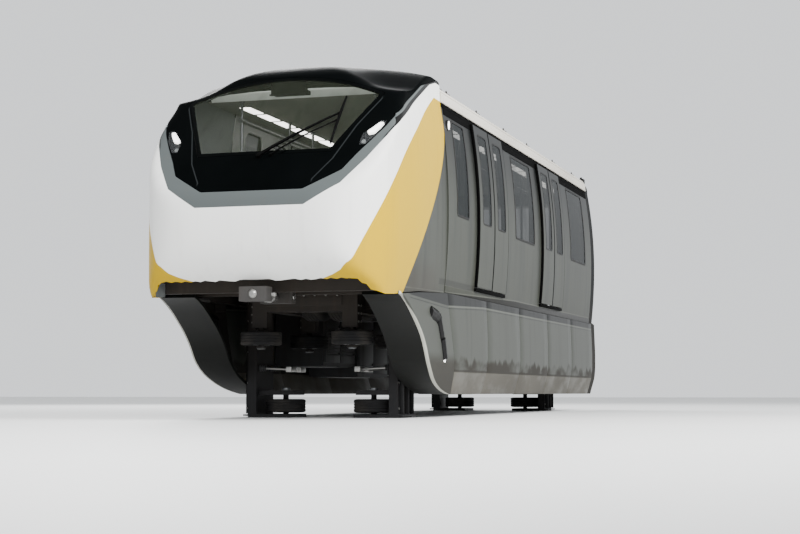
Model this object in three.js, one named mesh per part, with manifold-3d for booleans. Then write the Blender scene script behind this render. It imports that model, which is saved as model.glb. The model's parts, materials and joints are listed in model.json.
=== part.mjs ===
// Lead car of a straddle-beam monorail train.
// The hollow body stands on two single-axle bogies that hang down on both sides of the beam.
// Millimetres. X runs forward to the nose, Y to the car's left, Z up from the feet of the bogies.
import * as THREE from "three";
import { mergeVertices } from "three/addons/utils/BufferGeometryUtils.js";
import Module from "manifold-3d";

const wasm = await Module();
wasm.setup();

// Overall lengths
const NOSE_TIP = 6665;
const REAR_FACE = -6665;
const BODY_REAR = -6215;
const NOSE_JOINT = 3690;
const MASK_REAR = 3790;

// Heights
const SKIRT_BOTTOM = 300;
const CREASE_HEIGHT = 590;
const BEAM_TOP = 1250;
const SOLEBAR_BOTTOM = 1480;
const SILL = 1600;
const FLOOR_BOTTOM = 1640;
const FLOOR_TOP = 1740;
const FLOOR_HALF = 1446;
const WIDEST_HEIGHT = 2700;
const CANTRAIL = 4050;
const CEILING = 4060;
const GUTTER_TOP = 4122;

// Roof sections: height of the shoulder's corner, where it turns into the crown, and the crown
const ROOF_FORM = { corner: 4290, turn: [1300, 4318], crown: 4385 };
const NOSE_FORM = { corner: 4340, turn: [1436, 4345], crown: 4508 };
const CROWN_BEND = 850;
const GUTTER_LEAN = 4;

// Body section: the wall is two arcs that meet at the widest height
const HALF_WIDTH = 1570;
const LOWER_WALL_RADIUS = 9340;
const UPPER_WALL_RADIUS = 7860;
const WALL = 60;
const ROOF_OVERHANG = 22;
const WALL_STEPS = 8;
const SKIRT_WALL = 40;
const SKIRT_DEPTH = 700;
const GLASS = 14;
const PANE_DEPTH = 2;
const SCREEN_DEPTH = 22;
const PANEL_GAP = 2;
const SEAM = 3;
const TOUCH = 0.5;

// Side openings
const WINDOW_BOTTOM = 2640;
const WINDOW_TOP = 3900;
const WINDOW_CORNER = 55;
const DOORWAY_HALF = 790;
const DOORWAY_TOP = 3960;
const LEAF_WIDTH = 847;
const LEAF_BOTTOM = 1755;
const LEAF_TOP = 4012;
const LEAF_INNER = 8;
const LEAF_OUTER = 43;
const LEAF_GLASS_WIDTH = 480;
const LEAF_REBATE = 12;
const LEAF_MEETING_GAP = 3;
const WINDOWS = [
  { name: "front", from: 2665, to: 3265 },
  { name: "middle", from: -1385, to: -85 },
  { name: "rear", from: -5625, to: -4285 },
];
const DOORWAYS = [
  { name: "front", centre: 1395 },
  { name: "rear", centre: -2715 },
];
const SIDES = [
  { name: "left", sign: 1 },
  { name: "right", sign: -1 },
];

// Bogies
const BOGIES = [
  { name: "front", x: 3835, inward: -1 },
  { name: "rear", x: -4865, inward: 1 },
];
const BEAM_HALF = 345;
const LOAD_RADIUS = 505;
const AXLE_HEIGHT = BEAM_TOP + LOAD_RADIUS;
const AXLE_RADIUS = 55;
const SIDE_TYRE_RADIUS = 260;
const SIDE_TYRE_Y = BEAM_HALF + SIDE_TYRE_RADIUS;
const GUIDE_X = 870;
const GUIDE_HEIGHT = 1000;
const STABILISER_HEIGHT = 150;
const SPINDLE_RADIUS = 38;
const RUNNING_GAP = 6;
const SIDE_TYRE_SEGMENTS = 13;
const LOAD_TYRE_SEGMENTS = 22;
const ROD_SEGMENTS = 12;
const WELL_LENGTH = 650;
const WELL_HALF = 600;

// Cutting shapes reach past the body on every side
const PAST_SIDE = 2000;
const PAST_NOSE = 7100;
const PAST_ROOF = 4700;
const PAST_CAB = 1200;

// Colours
const paint = (color, roughness, metalness) =>
  new THREE.MeshStandardMaterial({ color, roughness, metalness });
const WHITE = paint(0xe3e3e0, 0.3, 0.0);
const CREAM = paint(0xdcd8d0, 0.45, 0.0);
const SIDE_GREY = paint(0x80817a, 0.4, 0.3);
const SKIRT_GREY = paint(0x77786f, 0.5, 0.3);
const MASK_BLACK = paint(0x0e1214, 0.15, 0.0);
const BELLOWS_GREY = paint(0x545556, 0.85, 0.0);
const STEEL_BLACK = paint(0x1c1c1d, 0.6, 0.5);
const MACHINE_GREY = paint(0x3a3b3c, 0.55, 0.6);
const TYRE_BLACK = paint(0x161616, 0.9, 0.0);
const INTERIOR = paint(0xb9bcbb, 0.6, 0.0);
const SEAT = paint(0x3f5560, 0.6, 0.0);
const STAINLESS = paint(0xc4c6c8, 0.25, 1.0);
const LENS = paint(0xf2f4f5, 0.1, 0.0);
const glass = paint(0x20282a, 0.05, 0.0);
glass.transparent = true;
glass.opacity = 0.5;

// Closed geometry to an exact solid, and back to a mesh in a group
function solid(geometry) {
  const bare = new THREE.BufferGeometry();
  bare.setAttribute("position", geometry.getAttribute("position"));
  bare.setIndex(geometry.index);
  const merged = mergeVertices(bare, 1e-3);
  return new wasm.Manifold(
    new wasm.Mesh({
      numProp: 3,
      vertProperties: merged.attributes.position.array,
      triVerts: new Uint32Array(merged.index.array),
    }),
  );
}

function addPart(group, name, shape, material) {
  const faces = shape.getMesh();
  const geometry = new THREE.BufferGeometry();
  geometry.setAttribute("position", new THREE.BufferAttribute(faces.vertProperties, 3));
  geometry.setIndex(new THREE.BufferAttribute(faces.triVerts, 1));
  const flat = geometry.toNonIndexed();
  flat.computeVertexNormals();
  const mesh = new THREE.Mesh(flat, material);
  mesh.name = name;
  group.add(mesh);
  return mesh;
}

// Prisms: an outline of [first, second] points swept along one axis
function prism(outline, depth, basis, steps) {
  const shape = new THREE.Shape(outline.map(([a, b]) => new THREE.Vector2(a, b)));
  const geometry = new THREE.ExtrudeGeometry(shape, { depth, steps, bevelEnabled: false });
  return geometry.applyMatrix4(basis);
}

const sweep = (outline, depth, basis) => solid(prism(outline, depth, basis, 1));

const axis = (x, y, z) => new THREE.Vector3(x, y, z);
const facingX = (x) =>
  new THREE.Matrix4().makeBasis(axis(0, 1, 0), axis(0, 0, 1), axis(1, 0, 0)).setPosition(x, 0, 0);

const alongX = (outline, from, to) => sweep(outline, to - from, facingX(from));

const facingY = (y) =>
  new THREE.Matrix4().makeBasis(axis(1, 0, 0), axis(0, 0, 1), axis(0, -1, 0)).setPosition(0, y, 0);

const alongY = (outline, from, to) => sweep(outline, to - from, facingY(to));

const throughSides = (outline) => alongY(outline, -PAST_SIDE, PAST_SIDE);

function alongZ(outline, from, to) {
  return sweep(outline, to - from, new THREE.Matrix4().makeTranslation(0, 0, from));
}

function block(x, y, z) {
  const size = [x, y, z].map(([low, high]) => Math.abs(high - low));
  const geometry = new THREE.BoxGeometry(...size);
  geometry.translate(...[x, y, z].map(([low, high]) => (low + high) / 2));
  return solid(geometry);
}

// The same block on one side of the car: y is measured outwards from the middle
const sideBlock = (sign, x, [inner, outer], z) => block(x, [sign * inner, sign * outer], z);

// Blocks from a table: from and to along the car, inner and outer on one side, bottom and top
const sideBlocks = (sign, rows) =>
  joined(
    rows.map(({ from, to, inner, outer, bottom, top }) =>
      sideBlock(sign, [from, to], [inner, outer], [bottom, top]),
    ),
  );

function rodAlongY(radius, x, [low, high], z, segments) {
  const rod = new THREE.CylinderGeometry(radius, radius, high - low, segments);
  return solid(rod.translate(x, (low + high) / 2, z));
}

function rodAlongZ(radius, x, y, [low, high], segments) {
  const rod = new THREE.CylinderGeometry(radius, radius, high - low, segments);
  rod.rotateX(Math.PI / 2);
  return solid(rod.translate(x, y, (low + high) / 2));
}

function rodAlongX(radius, [low, high], y, z, segments) {
  const rod = new THREE.CylinderGeometry(radius, radius, high - low, segments);
  rod.rotateZ(Math.PI / 2);
  return solid(rod.translate((low + high) / 2, y, z));
}

const joined = (shapes) => shapes.reduce((all, shape) => all.add(shape));

// Points of a quadratic curve after its start
function bend([x0, y0], [x1, y1], [x2, y2], steps) {
  const curve = new THREE.QuadraticBezierCurve(
    new THREE.Vector2(x0, y0),
    new THREE.Vector2(x1, y1),
    new THREE.Vector2(x2, y2),
  );
  return curve.getPoints(steps).slice(1).map((point) => [point.x, point.y]);
}

const mirrored = (points) => points.map(([y, z]) => [-y, z]).reverse();

function roundedWindow(from, to, low, high, radius) {
  const corners = [
    [[from, high - radius], [from, high], [from + radius, high]],
    [[to - radius, high], [to, high], [to, high - radius]],
    [[to, low + radius], [to, low], [to - radius, low]],
    [[from + radius, low], [from, low], [from, low + radius]],
  ];
  return corners.flatMap(([start, corner, end]) => [start, ...bend(start, corner, end, 3)]);
}

// Body section
function wallWidth(z) {
  const rise = z - WIDEST_HEIGHT;
  const radius = rise > 0 ? UPPER_WALL_RADIUS : LOWER_WALL_RADIUS;
  return HALF_WIDTH - (rise * rise) / (2 * radius);
}

function wallLine(low, high, offset) {
  const heights = Array.from(
    { length: WALL_STEPS + 1 },
    (_, step) => low + ((high - low) * step) / WALL_STEPS,
  );
  return heights.map((z) => [wallWidth(z) + offset, z]);
}

function wallOutline(sign, low, high, outer, inner) {
  const outline = [...wallLine(low, high, outer), ...wallLine(low, high, inner).reverse()];
  return outline.map(([y, z]) => [sign * y, z]);
}

// Roof edge, shoulder and crown of the left half, from the cantrail to the middle
function roofLine(edge, offset, { corner, turn, crown } = ROOF_FORM) {
  const gutter = [edge - GUTTER_LEAN - offset, GUTTER_TOP];
  const start = [turn[0] - offset, turn[1] - offset];
  return [
    [edge - offset, CEILING],
    gutter,
    ...bend(gutter, [edge - 2 * GUTTER_LEAN - offset, corner - offset], start, 4),
    ...bend(start, [CROWN_BEND, crown - offset], [0, crown - offset], 4),
  ];
}

function closedHalf(half) {
  return [...half, ...mirrored(half).slice(1)];
}

function bodySection(bottom, inset, form) {
  const roofPart = roofLine(wallWidth(CANTRAIL), inset, form);
  return closedHalf([...wallLine(bottom, CANTRAIL, -inset), ...roofPart]);
}

// Skirt section, from the bottom edge up: the lower strip tucks in below the crease
const SKIRT_LINE = [
  [1470, SKIRT_BOTTOM],
  [1555, CREASE_HEIGHT],
  [1573, 760],
  [1575, 1050],
  [1556, SILL - 8],
];
const skirtLine = (offset) => SKIRT_LINE.map(([y, z]) => [y + offset, z]);

// Nose: the body section, the plan and the side profile cut each other
const NOSE_PLAN = {
  middle: [6673, 0],
  front: [6669, 670],
  frontBend: [6604, 1460],
  corner: [5785, 1572],
  sideBend: [5200, 1600],
  side: [4400, 1620],
  rearHalf: 1640,
};

function nosePlan(inset, rear = NOSE_JOINT) {
  const setIn = ([x, y]) => [x - inset, y - inset];
  const [front, corner, side] = [NOSE_PLAN.front, NOSE_PLAN.corner, NOSE_PLAN.side].map(setIn);
  const half = [
    [NOSE_PLAN.middle[0] - inset, NOSE_PLAN.middle[1]],
    front,
    ...bend(front, setIn(NOSE_PLAN.frontBend), corner, 6),
    ...bend(corner, setIn(NOSE_PLAN.sideBend), side, 3),
    [rear, NOSE_PLAN.rearHalf - inset],
  ];
  return [...half, ...half.map(([x, y]) => [x, -y]).reverse().slice(0, -1)];
}

// Side profile of the nose: each point, and how far it moves for each unit of inset
const NOSE_PROFILE = {
  chin: { at: [6385, 1630], inwards: [1, 0] },
  chinBend: { at: [6650, 1830], inwards: [1, 0] },
  tip: { at: [NOSE_TIP, 2250], inwards: [1, 0] },
  tipBend: { at: [NOSE_TIP, 2480], inwards: [1, 0.2] },
  screenFoot: { at: [6555, 2640], inwards: [1.2, 0.3] },
  screenHead: { at: [5330, 4200], inwards: [1.1, 0.25] },
  headBend: { at: [5080, 4408], inwards: [1, 1] },
  crown: { at: [4100, NOSE_FORM.crown + 2], inwards: [0, 1] },
  rear: { at: [NOSE_JOINT, NOSE_FORM.crown + 2], inwards: [1, 1] },
};

function frontLine(inset) {
  const point = (name) => {
    const { at, inwards } = NOSE_PROFILE[name];
    return [at[0] - inset * inwards[0], at[1] - inset * inwards[1]];
  };
  return [
    point("chin"),
    ...bend(point("chin"), point("chinBend"), point("tip"), 5),
    ...bend(point("tip"), point("tipBend"), point("screenFoot"), 4),
    point("screenHead"),
    ...bend(point("screenHead"), point("headBend"), point("crown"), 4),
    point("rear"),
  ];
}

// Lower edge of the nose, which drops to the front corner and rises again at the front
const NOSE_HEM = [
  [NOSE_JOINT, SILL],
  [4900, 1545],
  [5685, 1490],
  [6100, 1530],
  NOSE_PROFILE.chin.at,
];

// Crown: towards the brow the shoulders sink, and the section swells a little
const BROW_START = 4000;
const BROW_END = 5500;
const BROW_SINK = 480;
const BROW_HALF = 1376;
const SINK_FOOT = 3480;
const SINK_HEAD = 4072;
const SINK_TRIES = 24;
const SWELL = 40;
const SWELL_START = 3750;
const SWELL_END = 5250;
const BULK_BOTTOM = 1380;
const BULK_END = 6800;
const BULK_STEPS = 15;

// The height a point sinks to: the full depth above the sink's head, none below its foot
function sunkHeight(height, depth) {
  let [low, high] = [height - depth, height];
  for (let i = 0; i < SINK_TRIES; i += 1) {
    const middle = (low + high) / 2;
    const start = middle + depth * THREE.MathUtils.smoothstep(middle, SINK_FOOT, SINK_HEAD);
    if (start < height) low = middle;
    else high = middle;
  }
  return high;
}

function sinkShoulders(geometry) {
  const place = geometry.attributes.position;
  for (let i = 0; i < place.count; i += 1) {
    const [x, y, z] = [place.getX(i), place.getY(i), place.getZ(i)];
    const ahead = THREE.MathUtils.smoothstep(x, BROW_START, BROW_END);
    const outwards = THREE.MathUtils.smoothstep(Math.abs(y), 0, BROW_HALF);
    const swell = SWELL * THREE.MathUtils.smoothstep(x, SWELL_START, SWELL_END);
    place.setY(i, y + Math.sign(y) * swell);
    place.setZ(i, sunkHeight(z, BROW_SINK * ahead * outwards));
  }
  return geometry;
}

// Screen: above its foot the face curves back towards the sides
const BOW_DEPTH = 154;
const BOW_HALF = 1340;
const BOW_STEPS = 12;

function bowedFace(outline) {
  const [low, high] = [NOSE_PROFILE.screenFoot.at[1], NOSE_PROFILE.screenHead.at[1]];
  const geometry = prism(outline, 2 * PAST_SIDE, facingY(PAST_SIDE), BOW_STEPS);
  const place = geometry.attributes.position;
  for (let i = 0; i < place.count; i += 1) {
    const upwards = THREE.MathUtils.clamp((place.getZ(i) - low) / (high - low), 0, 1);
    const aside = place.getY(i) / BOW_HALF;
    place.setX(i, place.getX(i) - BOW_DEPTH * upwards * aside ** 2);
  }
  return solid(geometry);
}

function noseBulk(sideProfile, inset, start) {
  const section = bodySection(BULK_BOTTOM, inset, NOSE_FORM);
  const bulk = prism(section, BULK_END - start, facingX(start), BULK_STEPS);
  return solid(sinkShoulders(bulk))
    .intersect(alongZ(nosePlan(inset), PAST_CAB, PAST_ROOF))
    .intersect(bowedFace(sideProfile));
}

// The cab is open to the saloon below the ceiling; above it the shell has a rear face
const noseOuter = noseBulk([...NOSE_HEM, ...frontLine(0).slice(1)], 0, NOSE_JOINT);
const cabProfile = [
  [NOSE_JOINT, PAST_CAB],
  [NOSE_PROFILE.chin.at[0] - WALL, PAST_CAB],
  ...frontLine(WALL),
];
const cabEntry = alongX(
  bodySection(BULK_BOTTOM, WALL, ROOF_FORM),
  NOSE_JOINT - 2 * WALL,
  NOSE_JOINT + 3 * WALL,
).intersect(
  block(
    [NOSE_JOINT - 2 * WALL, NOSE_JOINT + 3 * WALL],
    [-PAST_SIDE, PAST_SIDE],
    [PAST_CAB, CEILING - TOUCH],
  ),
);
const noseWall = noseOuter.subtract(noseBulk(cabProfile, WALL, NOSE_JOINT + WALL)).subtract(cabEntry);

// The black mask around the screen: its front view and its side view bound it together
const MASK_EDGE_HALF = 1720;
const MASK_FRONT = [
  [630, 2640],
  [1038, 2868],
  [1154, 3062],
  [1285, 3250],
  [1414, 3446],
  [1488, 3600],
  [MASK_EDGE_HALF, 3602],
  [MASK_EDGE_HALF, PAST_ROOF],
];
const MASK_SIDE = [
  [PAST_NOSE, 2300],
  [5690, 2300],
  [5690, 3600],
  [5600, 3648],
  [5437, 3742],
  [5203, 3852],
  [4811, 4043],
  [4600, 4129],
  [MASK_REAR, 4345],
  [MASK_REAR, PAST_ROOF],
  [PAST_NOSE, PAST_ROOF],
];

function maskField(shift) {
  const front = [...MASK_FRONT, ...mirrored(MASK_FRONT)].map(([y, z]) => [y, z + shift]);
  const side = MASK_SIDE.map(([x, z]) => [x + shift, z + shift]);
  return alongX(front, NOSE_JOINT, PAST_NOSE).intersect(throughSides(side));
}

// Screen opening in the front view, cut through the sloping wall
const FRONT_CUT = 4500;
const SCREEN_LOW = [845, 3110];
const SCREEN_HIGH = [1275, 3905];
const SCREEN_TOP = 4175;
const SCREEN_BEND = 700;

function screenField(inset) {
  const low = [SCREEN_LOW[0] - inset, SCREEN_LOW[1] + inset];
  const high = [SCREEN_HIGH[0] - inset, SCREEN_HIGH[1] - inset];
  const top = SCREEN_TOP - inset;
  const half = [low, high, ...bend(high, [SCREEN_BEND - inset, top], [0, top], 5)];
  return alongX(closedHalf(half), FRONT_CUT, PAST_NOSE);
}

// Headlight cluster: one slanting lens housing on each side of the screen
const LAMP_OUTLINE = [
  { y: 1150, z: 3190, sideways: 1, upwards: 1 },
  { y: 1225, z: 3190, sideways: -1, upwards: 1 },
  { y: 1345, z: 3355, sideways: -1, upwards: 0 },
  { y: 1405, z: 3500, sideways: -1, upwards: -1 },
  { y: 1335, z: 3520, sideways: 1, upwards: -1 },
  { y: 1150, z: 3330, sideways: 1, upwards: 0 },
];

function lampField(sign, inset) {
  const outline = LAMP_OUTLINE.map(({ y, z, sideways, upwards }) => [
    sign * (y + sideways * inset),
    z + upwards * inset,
  ]);
  return alongX(outline, FRONT_CUT, PAST_NOSE);
}

const LENS_DEPTH = 44;
const noseSkin = (depth) => {
  const inside = [
    [NOSE_JOINT - WALL, PAST_CAB],
    [NOSE_PROFILE.chin.at[0], PAST_CAB],
    ...frontLine(depth),
  ];
  return noseOuter.subtract(bowedFace(inside));
};

// Side wall with its windows and doorways cut
function sideWall(sign) {
  const wall = alongX(wallOutline(sign, SILL, CANTRAIL, 0, -WALL), BODY_REAR, NOSE_JOINT - PANEL_GAP);
  const windows = WINDOWS.map(({ from, to }) =>
    throughSides(roundedWindow(from, to, WINDOW_BOTTOM, WINDOW_TOP, WINDOW_CORNER)),
  );
  const doorways = DOORWAYS.map(({ centre }) =>
    block(
      [centre - DOORWAY_HALF, centre + DOORWAY_HALF],
      [-PAST_SIDE, PAST_SIDE],
      [FLOOR_TOP, DOORWAY_TOP],
    ),
  );
  return wall.subtract(joined([...windows, ...doorways]));
}

function windowPane(sign, { from, to }) {
  const sheet = wallOutline(sign, SILL, CANTRAIL, -PANE_DEPTH, -PANE_DEPTH - GLASS);
  const outline = roundedWindow(
    from + SEAM,
    to - SEAM,
    WINDOW_BOTTOM + SEAM,
    WINDOW_TOP - SEAM,
    WINDOW_CORNER,
  );
  return alongX(sheet, from, to).intersect(throughSides(outline));
}

// Door leaf, outside the wall: a curved panel with a glazed rebate on both faces
function doorLeaf(sign, from) {
  const to = from + LEAF_WIDTH;
  const middle = (from + to) / 2;
  const panel = (outer, inner) =>
    alongX(wallOutline(sign, LEAF_BOTTOM, LEAF_TOP, outer, inner), from, to);
  const opening = roundedWindow(
    middle - LEAF_GLASS_WIDTH / 2,
    middle + LEAF_GLASS_WIDTH / 2,
    WINDOW_BOTTOM,
    WINDOW_TOP,
    WINDOW_CORNER,
  );
  const outside = panel(LEAF_OUTER + WALL, LEAF_OUTER - LEAF_REBATE);
  const inside = panel(LEAF_INNER + LEAF_REBATE, LEAF_INNER - WALL);
  const rebates = throughSides(opening).intersect(outside.add(inside));
  return panel(LEAF_OUTER, LEAF_INNER).subtract(rebates);
}

// Roof: outer skin, ceiling and the ducts between them in one, with two air-conditioning lids
const ROOF_LIDS = [
  { from: -4700, to: -2300 },
  { from: 300, to: 2700 },
];
const LID_HALF = 900;
const LID_BOTTOM = 4200;
const LID_TOP = 4407;

function roof() {
  const half = roofLine(wallWidth(CANTRAIL) + ROOF_OVERHANG, 0);
  const skin = alongX(closedHalf(half), BODY_REAR, NOSE_JOINT - PANEL_GAP);
  const lids = ROOF_LIDS.map(({ from, to }) =>
    block([from, to], [-LID_HALF, LID_HALF], [LID_BOTTOM, LID_TOP]),
  );
  return joined([skin, ...lids]);
}

// Underframe: floor plate, solebars, cross bearers and the brackets of the front skirts
const FRAME_REAR = BODY_REAR + 25;
const FRAME_TOP = 1650;
const BEARERS = [-6100, -3300, -1500, 0, 1500, 2320, 5350, 5950];
const BEARER = { halfLength: 60, half: 1320, bottom: 1500 };
const FRAME_SIDE = [
  { from: FRAME_REAR, to: 5300, inner: 1300, outer: 1430, bottom: SOLEBAR_BOTTOM, top: FRAME_TOP },
  { from: FRAME_REAR, to: 3600, inner: 1300, outer: 1514, bottom: SOLEBAR_BOTTOM, top: SILL - 2 },
  { from: 4000, to: 4100, inner: 1390, outer: 1512, bottom: 1380, top: 1500 },
  { from: 4700, to: 4800, inner: 1390, outer: 1512, bottom: 1380, top: 1500 },
];
const NOSE_PLATE = { from: NOSE_JOINT - 200, to: 6240, inset: WALL + 4 };
const WELL_CUT = { bottom: 1400, top: 1800 };

function underframe() {
  const floorHeights = [FLOOR_BOTTOM, FLOOR_TOP];
  const plate = block([FRAME_REAR, NOSE_JOINT - 10], [-FLOOR_HALF, FLOOR_HALF], floorHeights);
  const nosePlate = alongZ(nosePlan(NOSE_PLATE.inset), ...floorHeights).intersect(
    block([NOSE_PLATE.from, NOSE_PLATE.to], [-FLOOR_HALF, FLOOR_HALF], floorHeights),
  );
  const bearers = BEARERS.map((x) =>
    block(
      [x - BEARER.halfLength, x + BEARER.halfLength],
      [-BEARER.half, BEARER.half],
      [BEARER.bottom, FRAME_TOP],
    ),
  );
  const bars = SIDES.map(({ sign }) => sideBlocks(sign, FRAME_SIDE));
  const wells = BOGIES.map(({ x }) =>
    block(
      [x - WELL_LENGTH, x + WELL_LENGTH],
      [-WELL_HALF, WELL_HALF],
      [WELL_CUT.bottom, WELL_CUT.top],
    ),
  );
  return joined([plate, nosePlate, ...bars, ...bearers]).subtract(joined(wells));
}

// Seats back to back on the box that covers the load tyres
const SEAT_HEIGHT = 2210;
const SEAT_UNDERSIDE = 2130;
const BASE_TOP = 2140;
const FURNITURE_FOOT = FLOOR_TOP + TOUCH;
const ISLAND_HALF_LENGTH = 700;
const ISLAND_COVER = { half: 630, top: 2640 };
const ISLAND_HOLLOW = { bottom: 1600, top: 2340 };
const ISLAND_SIDE = [
  { from: -700, to: 700, inner: 620, outer: 1030, bottom: SEAT_UNDERSIDE, top: SEAT_HEIGHT },
  { from: -600, to: 600, inner: 620, outer: 900, bottom: FURNITURE_FOOT, top: BASE_TOP },
];

function seatIsland() {
  const cover = block(
    [-ISLAND_HALF_LENGTH, ISLAND_HALF_LENGTH],
    [-ISLAND_COVER.half, ISLAND_COVER.half],
    [FURNITURE_FOOT, ISLAND_COVER.top],
  );
  const hollow = block(
    [-WELL_LENGTH, WELL_LENGTH],
    [-WELL_HALF, WELL_HALF],
    [ISLAND_HOLLOW.bottom, ISLAND_HOLLOW.top],
  );
  const seats = SIDES.map(({ sign }) => sideBlocks(sign, ISLAND_SIDE));
  return joined([cover, ...seats]).subtract(hollow);
}

function wallBench(sign) {
  const { from, to } = WINDOWS[1];
  const [start, end] = [from + 40, to - 40];
  const foot = 120;
  return sideBlocks(sign, [
    { from: start, to: end, inner: 1000, outer: 1480, bottom: SEAT_UNDERSIDE, top: SEAT_HEIGHT },
    { from: start, to: end, inner: 1410, outer: 1486, bottom: SEAT_UNDERSIDE, top: 2620 },
    {
      from: start + foot,
      to: end - foot,
      inner: 1240,
      outer: 1452,
      bottom: FURNITURE_FOOT,
      top: BASE_TOP,
    },
  ]);
}

// Control desk across the cab, from its rear foot round the sloping top
const DESK_HALF = 1180;
const DESK_PROFILE = [
  [5150, FURNITURE_FOOT],
  [6020, FURNITURE_FOOT],
  [6020, 2720],
  [5760, 2880],
  [5150, 2800],
];
const controlDesk = () => alongY(DESK_PROFILE, -DESK_HALF, DESK_HALF);

// Grab rail: a rail under the ceiling with a pole at each doorway and seat
const RAIL_Y = 900;
const RAIL_HEIGHT = 3780;
const RAIL_RADIUS = 19;
const RAIL_SEGMENTS = 8;
const POLES = [-5700, -4020, -3380, -2050, 730, 2060, 2980, 4680];

function grabRail(sign) {
  const y = sign * RAIL_Y;
  const ends = [POLES[0], POLES[POLES.length - 1]];
  const rail = rodAlongX(RAIL_RADIUS, ends, y, RAIL_HEIGHT, RAIL_SEGMENTS);
  const poles = POLES.map((x) =>
    rodAlongZ(RAIL_RADIUS, x, y, [FURNITURE_FOOT, CEILING - TOUCH], RAIL_SEGMENTS),
  );
  return joined([rail, ...poles]);
}

// Rear end wall with the walkway opening and the short inner tunnel behind it
const WALKWAY = { half: 800, top: 3840 };
const TUNNEL = { half: 860, bottom: 1680, top: 3900 };

function endWall() {
  const low = FLOOR_TOP + 1;
  const wall = alongX(bodySection(low, WALL + 2), BODY_REAR, BODY_REAR + WALL).intersect(
    block([BODY_REAR, BODY_REAR + WALL], [-PAST_SIDE, PAST_SIDE], [low, CEILING - 4]),
  );
  const tunnel = block(
    [REAR_FACE + 25, BODY_REAR + 20],
    [-TUNNEL.half, TUNNEL.half],
    [TUNNEL.bottom, TUNNEL.top],
  );
  const way = block(
    [REAR_FACE - WALL, BODY_REAR + 2 * WALL],
    [-WALKWAY.half, WALKWAY.half],
    [low, WALKWAY.top],
  );
  return joined([wall, tunnel]).subtract(way);
}

// Gangway cover: it carries the section of body and skirts across the gap between two cars
const COVER_INSET = 25;
const COVER_THICKNESS = 70;
const COVER_GAP = { half: 1360, bottom: 200, top: 700 };
const COVER_SILL = { half: 1440, bottom: 1560, top: 1674 };

function gangway() {
  const section = (inset) => {
    const high = wallLine(SILL + 30, CANTRAIL, -inset);
    return closedHalf([...skirtLine(-inset), ...high, ...roofLine(wallWidth(CANTRAIL), inset)]);
  };
  const span = [REAR_FACE, BODY_REAR - 5];
  const through = [span[0] - 10, span[1] + 10];
  const hollow = alongX(section(COVER_INSET + COVER_THICKNESS), ...through).add(
    block(through, [-COVER_GAP.half, COVER_GAP.half], [COVER_GAP.bottom, COVER_GAP.top]),
  );
  const sill = block(
    span,
    [-COVER_SILL.half, COVER_SILL.half],
    [COVER_SILL.bottom, COVER_SILL.top],
  );
  return alongX(section(COVER_INSET), ...span).subtract(hollow).add(sill);
}

// Drawbar to the next car at the rear, and the coupler head under the cab
const DRAWBAR = {
  rod: { radius: 45, from: REAR_FACE + 60, to: -6100, height: 1440 },
  blocks: [
    { from: REAR_FACE + 5, to: REAR_FACE + 95, half: 130, bottom: 1370, top: 1510 },
    { from: -6190, to: -6030, half: 150, bottom: 1360, top: BEARER.bottom - TOUCH },
  ],
};
const COUPLER = {
  rod: { radius: 50, from: 5700, to: 6350, height: 1450 },
  blocks: [
    { from: 6300, to: 6480, half: 170, bottom: 1370, top: 1540 },
    { from: 5600, to: 5760, half: 200, bottom: 1380, top: 1560 },
    { from: 5620, to: 5700, half: 90, bottom: 1500, top: FLOOR_BOTTOM - TOUCH },
  ],
};

function drawgear({ rod, blocks }) {
  const bar = rodAlongX(rod.radius, [rod.from, rod.to], 0, rod.height, ROD_SEGMENTS);
  const heads = blocks.map(({ from, to, half, bottom, top }) =>
    block([from, to], [-half, half], [bottom, top]),
  );
  return joined([bar, ...heads]);
}

// Skirts: a long panel on each side and a raked front piece that turns in towards the beam
const SKIRT_JOINT = { low: 3285, high: 3785 };
const SKIRT_GAP = { low: 24, high: 5 };
const SKIRT_OPENING = 1070;
const SKIRT_HEAD = [5725, 1472];
const SKIRT_KNEE = [4330, 870];
const SKIRT_TOE = [3480, SKIRT_BOTTOM];
const SKIRT_TOP = [
  [5685, 1482],
  [4900, 1536],
  [SKIRT_JOINT.high, 1588],
];
const RAKE_WALL = 95;
const SIDE_FOOT = SKIRT_BOTTOM - 50;
const UNDER_SKIRT = 200;
const OVER_SKIRT = 1700;
const BEHIND_SKIRT = 2900;
const skirtBand = (sign, outer, inner) => {
  const band = [...skirtLine(outer), ...skirtLine(inner).reverse()];
  return alongX(band.map(([y, z]) => [sign * y, z]), BODY_REAR, PAST_NOSE);
};

function sideSkirt(sign) {
  const side = [
    [BODY_REAR, SIDE_FOOT],
    [SKIRT_JOINT.low - SKIRT_GAP.low, SIDE_FOOT],
    [SKIRT_JOINT.high - SKIRT_GAP.high, SILL],
    [BODY_REAR, SILL],
  ];
  return skirtBand(sign, 0, -SKIRT_WALL).intersect(throughSides(side));
}

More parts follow.
